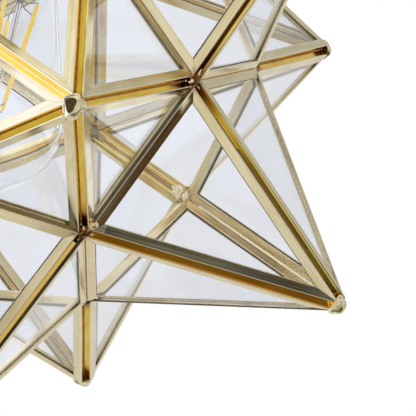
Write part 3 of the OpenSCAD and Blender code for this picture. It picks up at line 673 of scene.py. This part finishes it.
def seam(start, end, outwards, width=SEAM_W, look=SEAM):
    """Thin bar along the groove between two lengths of channel: a run of solder, or one of the strips of
    colour that a few ridges have.
    """
    way = (end - start).normalized()
    side = way.cross(outwards)
    bar = bmesh.new()
    place = Matrix((way, side, outwards)).transposed().to_4x4()
    place.translation = (start + end) / 2
    stretch = Matrix.Diagonal(((end - start).length, width, SEAM_W, 1))
    bmesh.ops.create_cube(bar, size=1.0, matrix=place @ stretch)
    for face in bar.faces:
        face.material_index = look
    return bar


def join(bm, other, place=Matrix.Identity(4)):
    """Moves another mesh into place and makes it part of this one."""
    mesh = bpy.data.meshes.new("part")
    bmesh.ops.transform(other, matrix=place, verts=other.verts[:])
    other.to_mesh(mesh)
    other.free()
    bm.from_mesh(mesh)
    bpy.data.meshes.remove(mesh)


def pane_corners(foot_in):
    """Corners of the channel round one pane, in the pane's frame."""
    top = SLANT - RIDGE_INSET / math.sin(TIP_HALF)
    half = (top - foot_in) * math.tan(TIP_HALF)
    return [Vector((-half, foot_in, 0)), Vector((half, foot_in, 0)), Vector((0, top, 0))]


def ridge_solder(bm, node, j):
    """Adds the seam along one ridge, the strips of colour a few ridges have in their groove, and the pale
    painted-highlight strip one has inside.
    """
    tip = Vector((0, 0, TIP_RADIUS))
    out = turn(FIFTH * j + TENTH, "Z").to_3x3() @ Vector((1, 0, 0))
    foot = out * FACE_CIRCUM + Vector((0, 0, BODY_IN))
    way = (tip - foot).normalized()
    out = (out - way * out.dot(way)).normalized()
    down = out * (SEAM_DEEP - RIDGE_DEPTH)
    start, end = foot + way * SEAM_FROM_FOOT, tip - way * SEAM_FROM_TIP
    join(bm, seam(start + down, end + down, out, look=FOOT if (node, j) in YELLOW_PAINTED_SEAMS else SEAM))
    for first, last, width, up, look in GROOVE_STRIPS.get((node, j), ()):
        ends = [foot.lerp(tip, at) + down + out * up for at in (first, last)]
        join(bm, seam(*ends, out, width, look))
    if (node, j) in INNER_HIGHLIGHTS:
        down = out * (-RIDGE_DEPTH - INNER_HIGHLIGHT_DEEP)
        start, end = foot + way * INNER_FROM_FOOT, tip - way * INNER_FROM_TIP
        join(bm, seam(start + down, end + down, out, INNER_HIGHLIGHT_W, EDGE))


def point_rails(node, foot_in, shift):
    """The fifteen mitred lengths of one point with the solder along its ridges, in the point's frame."""
    corners = pane_corners(foot_in)
    halves = (FOOT_HALF, FOOT_HALF, TIP_HALF)
    bm = bmesh.new()
    for j, k in itertools.product(range(5), range(3)):
        start, end = corners[k], corners[(k + 1) % 3]
        way = (end - start).normalized()
        inwards = Vector((-way.y, way.x, 0))
        place = Matrix.Translation(start) @ Matrix((way, inwards, (0, 0, 1))).transposed().to_4x4()
        which = (node, j, k)
        one = rail(
            (end - start).length, halves[k], halves[(k + 1) % 3], shift + PANE_SHIFT * j + SIDE_SHIFT * k,
            SLANTED_LIPS.get(which), NARROW_LIPS.get(which, CAME_LIP),
        )
        for face in one.faces:
            face.material_index = painted_look(face, which)
        join(bm, one, on_pane(j) @ place)
    for j in range(5):
        ridge_solder(bm, node, j)
    return bm


CORNERS = list(body_corners())
AXES = [(in_point(*turns).to_3x3() @ Vector((0, 0, 1))) for turns in POINTS.values()]
DOOR = list(POINTS).index("door_frame")
DOOR_AXIS = AXES[DOOR]


def touches(axis, corner):
    """Whether a corner is one of the five round the foot of the point with this axis."""
    return (axis * BODY_IN - corner).length < FACE_CIRCUM * NEARLY


def one_valley(p, q):
    """Whether two corners are the ends of one valley."""
    return abs((p - q).length - BASE_EDGE) < 1 * MM


def owner(p, q):
    """Which point carries the seam in the valley between two corners, or none round the point that opens."""
    beside = [k for k, axis in enumerate(AXES) if touches(axis, p) and touches(axis, q)]
    return None if DOOR in beside else beside[0]


chance = random.Random(7)
for number, (node, turns) in enumerate(POINTS.items()):
    body = "door" if node == "door_frame" else "fixture"
    rails = point_rails(node, VALLEY_INSET + (DOOR_GAP if body == "door" else 0), POINT_SHIFT * number)
    if node == "frame_top":
        cut_away(rails, (0, 0, TIP_RADIUS - TOP_CUT), (0, 0, 1))
    bmesh.ops.transform(rails, matrix=in_point(*turns), verts=rails.verts[:])
    for p, q in itertools.combinations(CORNERS, 2):
        if one_valley(p, q) and owner(p, q) == number:
            out = (p + q).normalized()
            down = STAR + out * (VALLEY_OUT - VALLEY_SEAM_DEEP)
            join(rails, seam(p + down, q + down, out))
    name = node.replace("frame_", "rails_").replace("door_frame", "door_rails")
    piece(name, rails, METALS, body, (node,), crease=12)


def lumpy(bm, size, height, seed):
    """Melted look: pushes every vertex along its normal by a smooth noise of a given grain size."""
    bm.normal_update()
    for v in bm.verts:
        push = noise.noise(v.co / size + Vector((seed, 0, 0))) * height
        v.co += v.normal * push


def smooth(bm, factor, steps=1):
    """Draws every vertex towards its neighbours."""
    for _ in range(steps):
        bmesh.ops.smooth_vert(
            bm, verts=bm.verts[:], factor=factor, use_axis_x=True, use_axis_y=True, use_axis_z=True,
        )


def remeshed(bm, voxel, smooth_steps):
    """Melts overlapping shapes into one skin."""
    mesh = bpy.data.meshes.new("melt")
    bm.to_mesh(mesh)
    bm.free()
    holder = bpy.data.objects.new("melt", mesh)
    bpy.context.scene.collection.objects.link(holder)
    modifier = holder.modifiers.new("melt", "REMESH")
    modifier.mode = "VOXEL"
    modifier.voxel_size = voxel
    graph = bpy.context.evaluated_depsgraph_get()
    done = bpy.data.meshes.new_from_object(holder.evaluated_get(graph))
    bpy.data.objects.remove(holder)
    bpy.data.meshes.remove(mesh)
    out = bmesh.new()
    out.from_mesh(done)
    bpy.data.meshes.remove(done)
    smooth(out, 0.5, smooth_steps)
    return out


def blob(bm, where, radius, squash=(1, 1, 1), facing=None):
    """Adds a ball, squashed along its own axes, with its z towards facing."""
    place = Matrix.Translation(where)
    if facing is not None:
        place = place @ facing.to_track_quat("Z", "X").to_matrix().to_4x4()
    place = place @ Matrix.Diagonal((*squash, 1))
    bmesh.ops.create_icosphere(bm, subdivisions=3, radius=radius, matrix=place)


def run(bm, start, end, r1, r2):
    """Adds a tapered run of solder between two places."""
    way = end - start
    place = Matrix.Translation((start + end) / 2) @ way.to_track_quat("Z", "X").to_matrix().to_4x4()
    bmesh.ops.create_cone(
        bm, cap_ends=True, segments=12, radius1=r1, radius2=r2, depth=way.length, matrix=place,
    )


# Nugget over a tip: how far down the point it reaches and out past the channels there, the radius of its top,
# how round its sides, its top edge and its rim are, and the grain of its skin
CAP_REACH = 5.2 * MM
CAP_PAST = 2.4 * MM
CAP_TOP_R = 3.9 * MM
CAP_SIDE_ROUND = 2.1 * MM
CAP_TOP_ROUND = 1.5 * MM
CAP_RIM_ROUND = 0.3 * MM
CAP_VOXEL = 0.38 * MM
# One shoulder of every nugget is lower: from how far below the tip, how far past the axis, how steeply, and
# how far it turns as the seed grows by one
SHOULDER_REACH = 3 * MM
SHOULDER_PAST = 0.4 * MM
SHOULDER_SLOPE = 0.25
SHOULDER_TURN = 137
# How far the solder of a tip ran down before it set. All of it moved by a share of that, and its low side by
# more, which made that side narrower
SAGS = {"frame_lower_1": 2.2 * MM, "frame_lower_2": 0.9 * MM}
SAG_ALL = 0.6
SAG_LOW_SIDE = 0.55
SAG_NARROWS = 0.3
LOW_SIDE_OUT = 5 * MM
# Tip that was pressed flat on two sides: where each flat faces in the room, how far below the tip it crosses
# the axis, and how flat it came out
PRESSED = {
    "frame_lower_1": (
        (Vector((-0.57, -0.78, -0.24)).normalized(), 0.6 * MM, 0.92),
        (Vector((0.06, -0.93, -0.37)).normalized(), 0.35 * MM, 1.0),
    ),
}


def tip_cap(bm, node, place, seed):
    """Five-sided melted nugget over the end of a point, its flats along the panes."""
    flare = FACE_IN / PYRAMID_H
    cap = bmesh.new()
    bmesh.ops.create_cone(
        cap, cap_ends=True, segments=5,
        radius1=(CAP_REACH * flare + CAP_PAST) / math.cos(math.radians(TENTH)),
        radius2=CAP_TOP_R,
        depth=CAP_REACH,
        matrix=Matrix.Translation((0, 0, TIP_RADIUS - CAP_REACH / 2)) @ turn(TENTH / 2, "Z"),
    )
    sides = [e for e in cap.edges if abs(e.verts[0].co.z - e.verts[1].co.z) > CAP_REACH / 2]
    bevel(cap, sides, CAP_SIDE_ROUND, 3)
    upper = [e for e in cap.edges if min(v.co.z for v in e.verts) > TIP_RADIUS - HAIR]
    bevel(cap, upper, CAP_TOP_ROUND, 4)
    rim = [e for e in cap.edges if max(v.co.z for v in e.verts) < TIP_RADIUS - CAP_REACH + HAIR]
    bevel(cap, rim, CAP_RIM_ROUND, 2)
    cap = remeshed(cap, CAP_VOXEL, 5)
    lumpy(cap, size=4.0 * MM, height=0.7 * MM, seed=seed)
    lumpy(cap, size=1.6 * MM, height=0.15 * MM, seed=seed + 20)
    smooth(cap, 0.5)
    sag = SAGS.get(node, 0.0)
    # Down in the room and the way to the low shoulder, both seen in the point's frame
    inwards = place.to_3x3().inverted()
    round_about = math.radians(SHOULDER_TURN * seed)
    down = inwards @ Vector((0, 0, -1))
    down = Vector((down.x, down.y, 0)).normalized() if sag else Vector((1, 0, 0))
    side = inwards @ Vector((math.cos(round_about), math.sin(round_about), 0.4))
    side = Vector((side.x, side.y, 0)).normalized()
    for v in cap.verts:
        low_side = max(0.0, v.co.dot(down)) / LOW_SIDE_OUT
        across = v.co - down * v.co.dot(down) - Vector((0, 0, v.co.z))
        v.co -= across * SAG_NARROWS * low_side * min(1.0, sag / MM)
        v.co += down * sag * (SAG_ALL + SAG_LOW_SIDE * low_side)
        if v.co.z > TIP_RADIUS - SHOULDER_REACH:
            v.co.z -= SHOULDER_SLOPE * max(0.0, v.co.dot(side) + SHOULDER_PAST)
        v.co.z = min(v.co.z, TIP_RADIUS)
    for facing, below, share in PRESSED.get(node, ()):
        facing = inwards @ facing
        for v in cap.verts:
            v.co -= facing * share * max(0.0, (v.co - Vector((0, 0, TIP_RADIUS - below))).dot(facing))
    bmesh.ops.recalc_face_normals(cap, faces=cap.faces[:])
    join(bm, cap, place)


tips = bmesh.new()
for number, (node, turns) in enumerate(POINTS.items()):
    if node not in ("frame_top", "door_frame"):
        tip_cap(tips, node, in_point(*turns), number * 3.7)
piece("tip_caps", tips, (tip_brass,), "fixture", ("tip_solder",), crease=60)
door_tip = bmesh.new()
tip_cap(door_tip, "door_frame", in_point(*POINTS["door_frame"]), 91.3)
piece("door_tip_cap", door_tip, (tip_brass,), "door", ("door_tip_solder",), crease=60)


# Solder where three points meet. Beads differ between two numbers of millimetres in the length of their runs,
# in how far along the valley, outwards and aside their lumps sit, and in the radius of the lumps
VALLEY_RUN = (4.5, 7.5)
RIDGE_RUN = (4.5, 7)
LUMP_ALONG = (2.6, 4.2)
LUMP_OUT = (1.2, 2.0)
LUMP_ASIDE = (0.6, 1.6)
LUMP_R = (0.9, 1.4)
# Beads are alike in how far out their core and their runs start, and in how thick the runs are
CORE_OUT = 0.2 * MM
VALLEY_RUN_OUT = 1.2 * MM
VALLEY_RUN_RISE = 0.5 * MM
VALLEY_RUN_R = 1.7 * MM
RIDGE_RUN_OUT = 0.6 * MM
RIDGE_RUN_R = 1.6 * MM
RUN_END_R = 0.4 * MM
# Bead beside the point that opens: how far it stays off, and how its second lump sits on it
DOOR_BEAD_OFF = 0.7 * MM
DOOR_LUMP_ALONG = 1.6 * MM
DOOR_LUMP_OUT = 0.7 * MM
# Bead with one big lump: at which corner, towards which, how far along and out in millimetres, and how big
BIG_LUMP_AT, BIG_LUMP_TOWARD = CORNERS[15], CORNERS[10]
BIG_LUMP_ALONG = 5.6
BIG_LUMP_OUT = 3.2
BIG_LUMP_R = 2.3 * MM
# Bead that was made last and stayed bright. Each lump on its inside has a place along the valley, inwards and
# aside, and a radius, in millimetres
FRESH_BEAD, FRESH_TOWARD = CORNERS[11], CORNERS[6]
FRESH_LUMPS = (
    (2.0, 3.2, 0.5, 2.2),
    (4.6, 3.0, -1.8, 1.7),
    (5.4, 3.0, 1.6, 1.5),
    (7.6, 3.0, -0.4, 1.2),
    (0.5, 3.6, 2.2, 1.6),
)
# How burnt beads are, how much darker they are made towards the middle, how far that reaches, and how burnt
# the last one is
BURNT = 0.12
DARKER_MIDDLE = 0.42
DARK_MIDDLE_REACH = 4.6 * MM
DARK_MIDDLE_FADE = 1.8 * MM
BURNT_LAST = -0.1


def door_bead(bm, corner, near):
    """Solder at the foot of the point that opens, kept on the valley that leads away from it."""
    outwards = corner.normalized()
    away = next(q for q in near if not touches(DOOR_AXIS, q))
    way = (away - corner).normalized()
    middle = STAR + corner + way * (DOOR_BEAD_R + DOOR_BEAD_OFF)
    blob(bm, middle, DOOR_BEAD_R * 0.94, (1, 1, 1), outwards)
    lump = middle + way * DOOR_LUMP_ALONG + outwards * DOOR_LUMP_OUT
    blob(bm, lump, DOOR_BEAD_R * 0.6, (1, 1, 1.2), way)


def node_bead(bm, corner):
    """Solder where three points meet: a lumpy core with runs along the three valleys and the three ridges."""
    outwards = corner.normalized()
    middle = STAR + corner
    near = [q for q in CORNERS if one_valley(corner, q)]
    if touches(DOOR_AXIS, corner):
        door_bead(bm, corner, near)
        return
    blob(bm, middle + outwards * CORE_OUT, VALLEY_BEAD_R * 0.8, (1, 1, 0.9), outwards)
    for q in near:
        way = (q - corner).normalized()
        start = middle + outwards * VALLEY_RUN_OUT
        end = start + way * chance.uniform(*VALLEY_RUN) * MM + outwards * VALLEY_RUN_RISE
        run(bm, start, end, VALLEY_RUN_R, RUN_END_R)
        side = way.cross(outwards) * chance.choice((-1, 1))
        lump = way * chance.uniform(*LUMP_ALONG) + outwards * chance.uniform(*LUMP_OUT)
        lump += side * chance.uniform(*LUMP_ASIDE)
        blob(bm, middle + lump * MM, chance.uniform(*LUMP_R) * MM)
    if corner == FRESH_BEAD:
        way = (FRESH_TOWARD - corner).normalized()
        for along, inside, aside, radius in FRESH_LUMPS:
            lump = way * along - outwards * inside + way.cross(outwards) * aside
            blob(bm, middle + lump * MM, radius * MM)
    if corner == BIG_LUMP_AT:
        lump = (BIG_LUMP_TOWARD - corner).normalized() * BIG_LUMP_ALONG + outwards * BIG_LUMP_OUT
        blob(bm, middle + lump * MM, BIG_LUMP_R, (1, 1, 0.9), outwards)
    for axis in AXES:
        if touches(axis, corner):
            way = (axis * TIP_RADIUS - corner).normalized()
            start = middle + outwards * RIDGE_RUN_OUT
            run(bm, start, start + way * chance.uniform(*RIDGE_RUN) * MM, RIDGE_RUN_R, RUN_END_R)


def burn_map(bm):
    """UV map of how dark each place is made: burnt all over, darker towards the middle of a bead, little on
    its lumps and runs.
    """
    burn = bm.loops.layers.uv.new("burn")
    for vert in bm.verts:
        where = vert.co - STAR
        corner = min(CORNERS, key=lambda at: (at - where).length)
        away = (where - corner).length
        told = BURNT + DARKER_MIDDLE * max(0.0, min(1.0, (DARK_MIDDLE_REACH - away) / DARK_MIDDLE_FADE))
        if corner == FRESH_BEAD:
            told = BURNT_LAST
        for loop in vert.link_loops:
            loop[burn].uv = (told, 0)


beads = bmesh.new()
for corner in CORNERS:
    node_bead(beads, corner)
beads = remeshed(beads, 0.4 * MM, 2)
lumpy(beads, size=1.6 * MM, height=0.4 * MM, seed=5.0)
smooth(beads, 0.4)
burn_map(beads)
piece("node_beads", beads, (solder,), "fixture", ("valley_solder",), crease=80)


# Vertices nearer to each other than this become one
WELD_WITHIN = 0.002 * MM


def spun(bm, profile, steps):
    """Adds a shape turned round z from a line of (radius, z) places that starts and ends on the axis."""
    verts = [bm.verts.new((r, 0, z)) for r, z in profile]
    edges = [bm.edges.new(pair) for pair in zip(verts, verts[1:])]
    bmesh.ops.spin(bm, geom=verts + edges, cent=(0, 0, 0), axis=(0, 0, 1), angle=2 * math.pi, steps=steps,
                   use_merge=True, use_duplicate=False)
    bmesh.ops.remove_doubles(bm, verts=bm.verts[:], dist=WELD_WITHIN)


FILAMENT_LEAN = math.asin((FILAMENT_OUT - FILAMENT_IN) / FILAMENT_LEN)
FILAMENT_DROP = FILAMENT_LEN * math.cos(FILAMENT_LEAN)
# Filament strip: its radius, the length of its pointed ends, and how much of an end is bare metal
STRIP_R = 1.05 * FILAMENT_R
STRIP_POINT = 2.2 * MM
STRIP_BARE = 0.6 * MM
STRIP, PALE_END = range(2)


def filament(place):
    """One strip: a slim rod with pointed pale metal ends, from its upper end along z."""
    bm = bmesh.new()
    end = [
        (0, 0),
        (0.3 * STRIP_R, 0.05 * MM),
        (0.5 * STRIP_R, 0.7 * MM),
        (0.9 * STRIP_R, STRIP_POINT - 0.5 * MM),
        (STRIP_R, STRIP_POINT),
    ]
    spun(bm, end + [(r, FILAMENT_LEN - z) for r, z in reversed(end)], 16)
    bmesh.ops.recalc_face_normals(bm, faces=bm.faces[:])
    for face in bm.faces:
        z = face.calc_center_median().z
        face.material_index = PALE_END if min(z, FILAMENT_LEN - z) < STRIP_BARE else STRIP
    bmesh.ops.transform(bm, matrix=place, verts=bm.verts[:])
    return bm


# Upper support wires run from a knot round the glass stem by an elbow to a strip's end, which they lap by a
# little. The elbow's place is told by shares of the strip's distance from the axis and of its drop
KNOT = STAR + Vector((0, 0, SPIDER_Z + 1.2 * MM))
WIRE_LAP = 0.1 * MM
ELBOW_ASIDE = 0.8 * MM
ELBOW_OUT = 0.45
ELBOW_DROP = 0.35
# Lower support wires start this far off the stem and this far below a strip's end
FOOT_WIRE_OUT = 0.2 * MM
FOOT_WIRE_DROP = 1.3 * MM
# Each upper wire is wound once round the stem in so many short lengths, climbs as it goes, lies lower by a
# share of its strip's drop, and ends in a short tail
WOUND = 9
WOUND_CLIMB = 1.8 * MM
WOUND_LOWER = 0.3
TAIL = Vector((1.4, 1.6, 1.8)) * MM


def wire(bm, start, end):
    """Adds a straight length of support wire with a round end."""
    run(bm, start, end, LEAD_R, LEAD_R)
    blob(bm, end, LEAD_R)


strips = bmesh.new()
wires = bmesh.new()
for about, drop in FILAMENTS:
    about = turn(about, "Z")
    top = Vector((FILAMENT_OUT, 0, SPIDER_Z - drop))
    bottom_z = top.z - FILAMENT_DROP
    lean = Matrix.Rotation(math.pi + FILAMENT_LEAN, 4, "Y")
    join(strips, filament(Matrix.Translation(STAR) @ about @ Matrix.Translation(top) @ lean))
    start = KNOT + about @ Vector((ROD_R, 0, 0))
    elbow = STAR + about @ Vector((FILAMENT_OUT * ELBOW_OUT, ELBOW_ASIDE, SPIDER_Z - drop * ELBOW_DROP))
    wire(wires, start, elbow)
    wire(wires, elbow, STAR + about @ (top + Vector((0, 0, WIRE_LAP))))
    foot = STAR + about @ Vector((ROD_R + FOOT_WIRE_OUT, 0, bottom_z - FOOT_WIRE_DROP))
    wire(wires, foot, STAR + about @ Vector((FILAMENT_IN, 0, bottom_z - WIRE_LAP)))
    wound = []
    for k in range(WOUND + 1):
        on_stem = Vector((ROD_R + LEAD_R, 0, WOUND_CLIMB * k / WOUND - drop * WOUND_LOWER))
        wound.append(KNOT + about @ turn(360 * k / WOUND, "Z") @ on_stem)
    for a, b in zip(wound, wound[1:]):
        run(wires, a, b, LEAD_R, LEAD_R)
    run(wires, start, KNOT + about @ (Vector((ROD_R, 0, 0)) + TAIL), LEAD_R, LEAD_R)
# Lead in the middle of the glass stem
run(wires, KNOT, STAR + Vector((0, 0, SPIDER_Z - FILAMENT_LEN + 4 * MM)), LEAD_R, LEAD_R)
piece("filament_strips", strips, (phosphor, nickel), "bulb", ("bulb_filaments",), crease=30)
piece("support_wires", wires, (lead_wire,), "bulb", ("bulb_wires",), crease=30)


# Nodes of the frame that keep their shape
CARRIED = {
    pane_glass: [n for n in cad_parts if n.startswith("glass_")] + ["door_glass"],
    blown_glass: ["bulb_glass", "bulb_mount"],
    turned_brass: ["canopy", "canopy_nuts", "stem_collar", "stem_sleeve", "top_cap", "socket_cup"],
    plain_brass: [
        "canopy_studs", "threaded_tube", "lock_nuts", "socket_screws", "hinge_fixed_leaf", "hinge_door_leaf",
        "hinge_pin", "catch_holder", "socket_shell", "socket_contact",
    ],
    zinc_steel: ["crossbar", "catch_plate"],
    nickel: ["catch_magnet", "bulb_screw", "bulb_contact"],
    green_screw: ["ground_screw"],
    green_wire: ["ground_wire"],
    black_wire: ["live_wire"],
    white_wire: ["neutral_wire"],
    orange_plastic: ["wire_connectors"],
    ceramic: ["socket_ceramic"],
    black_glass: ["bulb_insulator"],
}
# Nodes whose sharp edges are broken, by how much and from which angle on
BROKEN_EDGES = {
    "canopy", "top_cap", "stem_collar", "stem_sleeve", "socket_cup", "lock_nuts", "hinge_fixed_leaf",
    "hinge_door_leaf", "catch_holder", "catch_plate", "crossbar",
}
BROKEN_BY = 0.15 * MM
BROKEN_FROM = math.radians(35)
# Faces that meet at more than this are shaded apart
SPLIT_ANGLE = math.radians(32)

for material, nodes in CARRIED.items():
    for node in nodes:
        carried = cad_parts[node]
        carried.data.materials.clear()
        carried.data.materials.append(material)
        if material is pane_glass:
            continue
        for polygon in carried.data.polygons:
            polygon.use_smooth = True
        weld = carried.modifiers.new("weld", "WELD")
        weld.merge_threshold = WELD_WITHIN
        if node in BROKEN_EDGES:
            edges = carried.modifiers.new("edges", "BEVEL")
            edges.width = BROKEN_BY
            edges.segments = 2
            edges.limit_method = "ANGLE"
            edges.angle_limit = BROKEN_FROM
        split = carried.modifiers.new("split", "EDGE_SPLIT")
        split.split_angle = SPLIT_ANGLE


# Camera, which looks at the light as the photo does
CAMERA_FROM_STAR = Vector((-245.053, -1343.945, -617.892)) * MM
CAMERA_HEADING = 14.6614
CAMERA_TILT = 22.6836
CAMERA_ROLL = 12.027
CAMERA_LENS = 285.8155

camera = bpy.data.objects.new("camera", bpy.data.cameras.new("camera"))
camera.data.lens = CAMERA_LENS
camera.data.sensor_width = 36
camera.data.clip_start = 0.05
camera.data.clip_end = 60
camera.matrix_world = (
    Matrix.Translation(STAR + CAMERA_FROM_STAR)
    @ turn(-CAMERA_HEADING, "Z") @ turn(90 + CAMERA_TILT, "X") @ turn(CAMERA_ROLL, "Z")
)
bpy.context.scene.collection.objects.link(camera)
bpy.context.scene.camera = camera


# What metal sees: an even light, and over it zones of another brightness or colour, one after the other. A
# zone has its heading from +Y towards +X, its height above level, the angles within which it is full and past
# which it is gone, and its level of light
STUDIO_LEVEL = 0.7
STUDIO_ZONES = (
    (-72, -5, 32, 56, (1.2, 1.28, 1.7)),
    (-95, 68, 18, 45, 0.92),
    (58, 46, 8, 30, 0.52),
    (-20, -7, 8, 18, (1.15, 1.3, 1.1)),
    (7, 64, 8, 18, (1.15, 1.3, 1.1)),
    (16, 5, 4, 10, (1.1, 1.2, 1.05)),
    (168, -28, 6, 16, 0.78),
    (127, -68, 18, 34, 0.2),
    (143, 3, 5, 11, (0.05, 0.03, 0.015)),
    (166, 24, 8, 18, (0.40, 0.21, 0.12)),
    (131, -26, 17, 23, (0.06, 0.03, 0.015)),
    (158, -50, 10, 18, 0.05),
    (61, -4, 9, 17, (0.05, 0.06, 0.045)),
    (240, 0, 11, 18, (0.06, 0.045, 0.025)),
)
# Metal seen through glass: past so many glass faces, this share of the zones gives way to this even colour,
# which makes up for what the panes and the bulb hold back
BEHIND_GLASS = (
    (0.5, 0.6, (1.0, 1.0, 1.0)),
    (3.5, 0.7, (1.34, 1.34, 1.36)),
    (7.5, 0.8, (1.9, 1.92, 2.0)),
)
# Plain light on glaze, plastic and paint
PAINT_LIGHT = 0.85


def studio_world():
    """White behind the light, a studio with zones for metal, and plain light for glaze, plastic and paint."""
    world = bpy.data.worlds.new("studio")
    nodes = Nodes(world)
    coords = nodes.node("TexCoord").outputs["Generated"]
    colour = (STUDIO_LEVEL, STUDIO_LEVEL, STUDIO_LEVEL, 1)
    for heading, height, inner, outer, level in STUDIO_ZONES:
        middle = turn(-heading, "Z") @ turn(height, "X") @ Vector((0, 1, 0))
        near = nodes.node("VectorMath", {0: coords, 1: middle}, operation="DOT_PRODUCT").outputs["Value"]
        gone, full = math.cos(math.radians(outer)), math.cos(math.radians(inner))
        inside = nodes.level(near, 0.0, 1.0, gone, full, interpolation_type="SMOOTHSTEP")
        zone = level if isinstance(level, tuple) else (level, level, level)
        colour = nodes.blend(inside, colour, (*zone, 1))
    path = nodes.node("LightPath").outputs
    for passed, share, even in BEHIND_GLASS:
        behind = nodes.number("GREATER_THAN", path["Transmission Depth"], passed)
        colour = nodes.blend(behind, colour, nodes.blend(share, colour, (*even, 1)))
    metal_sees = nodes.add("Background", {"Strength": 1.0, "Color": colour})
    paint_sees = nodes.add("Background", {"Color": (1, 1, 1, 1), "Strength": PAINT_LIGHT})
    straight = nodes.add("Background", {"Color": (1, 1, 1, 1), "Strength": 1.0})
    is_glossy = nodes.number("GREATER_THAN", path["Glossy Depth"], 0.5)
    is_diffuse = nodes.number("GREATER_THAN", path["Diffuse Depth"], 0.5)
    seen = nodes.add("MixShader", {0: is_glossy, 1: straight, 2: metal_sees})
    seen = nodes.add("MixShader", {0: is_diffuse, 1: seen, 2: paint_sees})
    nodes.node("OutputWorld", {"Surface": seen})
    return world


bpy.context.scene.world = studio_world()

# White floor far below, its half width, and the light of its own that keeps it white for the camera
FLOOR_Z = -3.2
FLOOR_HALF = 40
FLOOR_GLOW = 0.32


def floor_finish():
    """Matt white paint that glows a little for the camera, and is clear from below."""
    f = Finish("floor_paint")
    tone = f.ramp(f.grain(f.place(), 3.0), (0.3, 0.80), (0.7, 0.82))
    matt = f.add("BsdfDiffuse", {"Color": tone})
    strength = f.level(f.node("LightPath").outputs["Is Camera Ray"], 0.0, FLOOR_GLOW)
    glow = f.add("Emission", {"Color": (1, 1, 1, 1), "Strength": strength})
    paint = f.add("AddShader", {0: matt, 1: glow})
    through = f.add("BsdfTransparent")
    below = f.node("NewGeometry").outputs["Backfacing"]
    f.node("OutputMaterial", {"Surface": f.add("MixShader", {0: below, 1: paint, 2: through})})
    return f.material


floor_bm = bmesh.new()
bmesh.ops.create_grid(
    floor_bm, x_segments=8, y_segments=8, size=FLOOR_HALF, matrix=Matrix.Translation((0, 0, FLOOR_Z)),
)
floor_mesh = bpy.data.meshes.new("floor")
floor_bm.to_mesh(floor_mesh)
floor_bm.free()
floor = bpy.data.objects.new("floor", floor_mesh)
bpy.context.scene.collection.objects.link(floor)
floor_mesh.materials.append(floor_finish())
floor.visible_glossy = False


def lamp(name, place, size, power):
    """Square lamp that faces the star and shows in nothing itself."""
    light = bpy.data.lights.new(name, "AREA")
    light.shape = "SQUARE"
    light.size = size
    light.energy = power
    made = bpy.data.objects.new(name, light)
    made.location = place
    made.rotation_euler = (Vector(place) - STAR).to_track_quat("Z", "Y").to_euler()
    made.visible_glossy = False
    made.visible_camera = False
    made.visible_transmission = False
    bpy.context.scene.collection.objects.link(made)


lamp("key_lamp", (-1.8, -2.2, 1.2), 1.6, 18)
lamp("fill_lamp", (2.2, -1.2, 0.4), 1.6, 8)

scene = bpy.context.scene
scene.view_settings.view_transform = "Standard"
scene.cycles.max_bounces = 32
scene.cycles.transmission_bounces = 32
scene.cycles.glossy_bounces = 6
scene.cycles.diffuse_bounces = 3
scene.cycles.transparent_max_bounces = 48
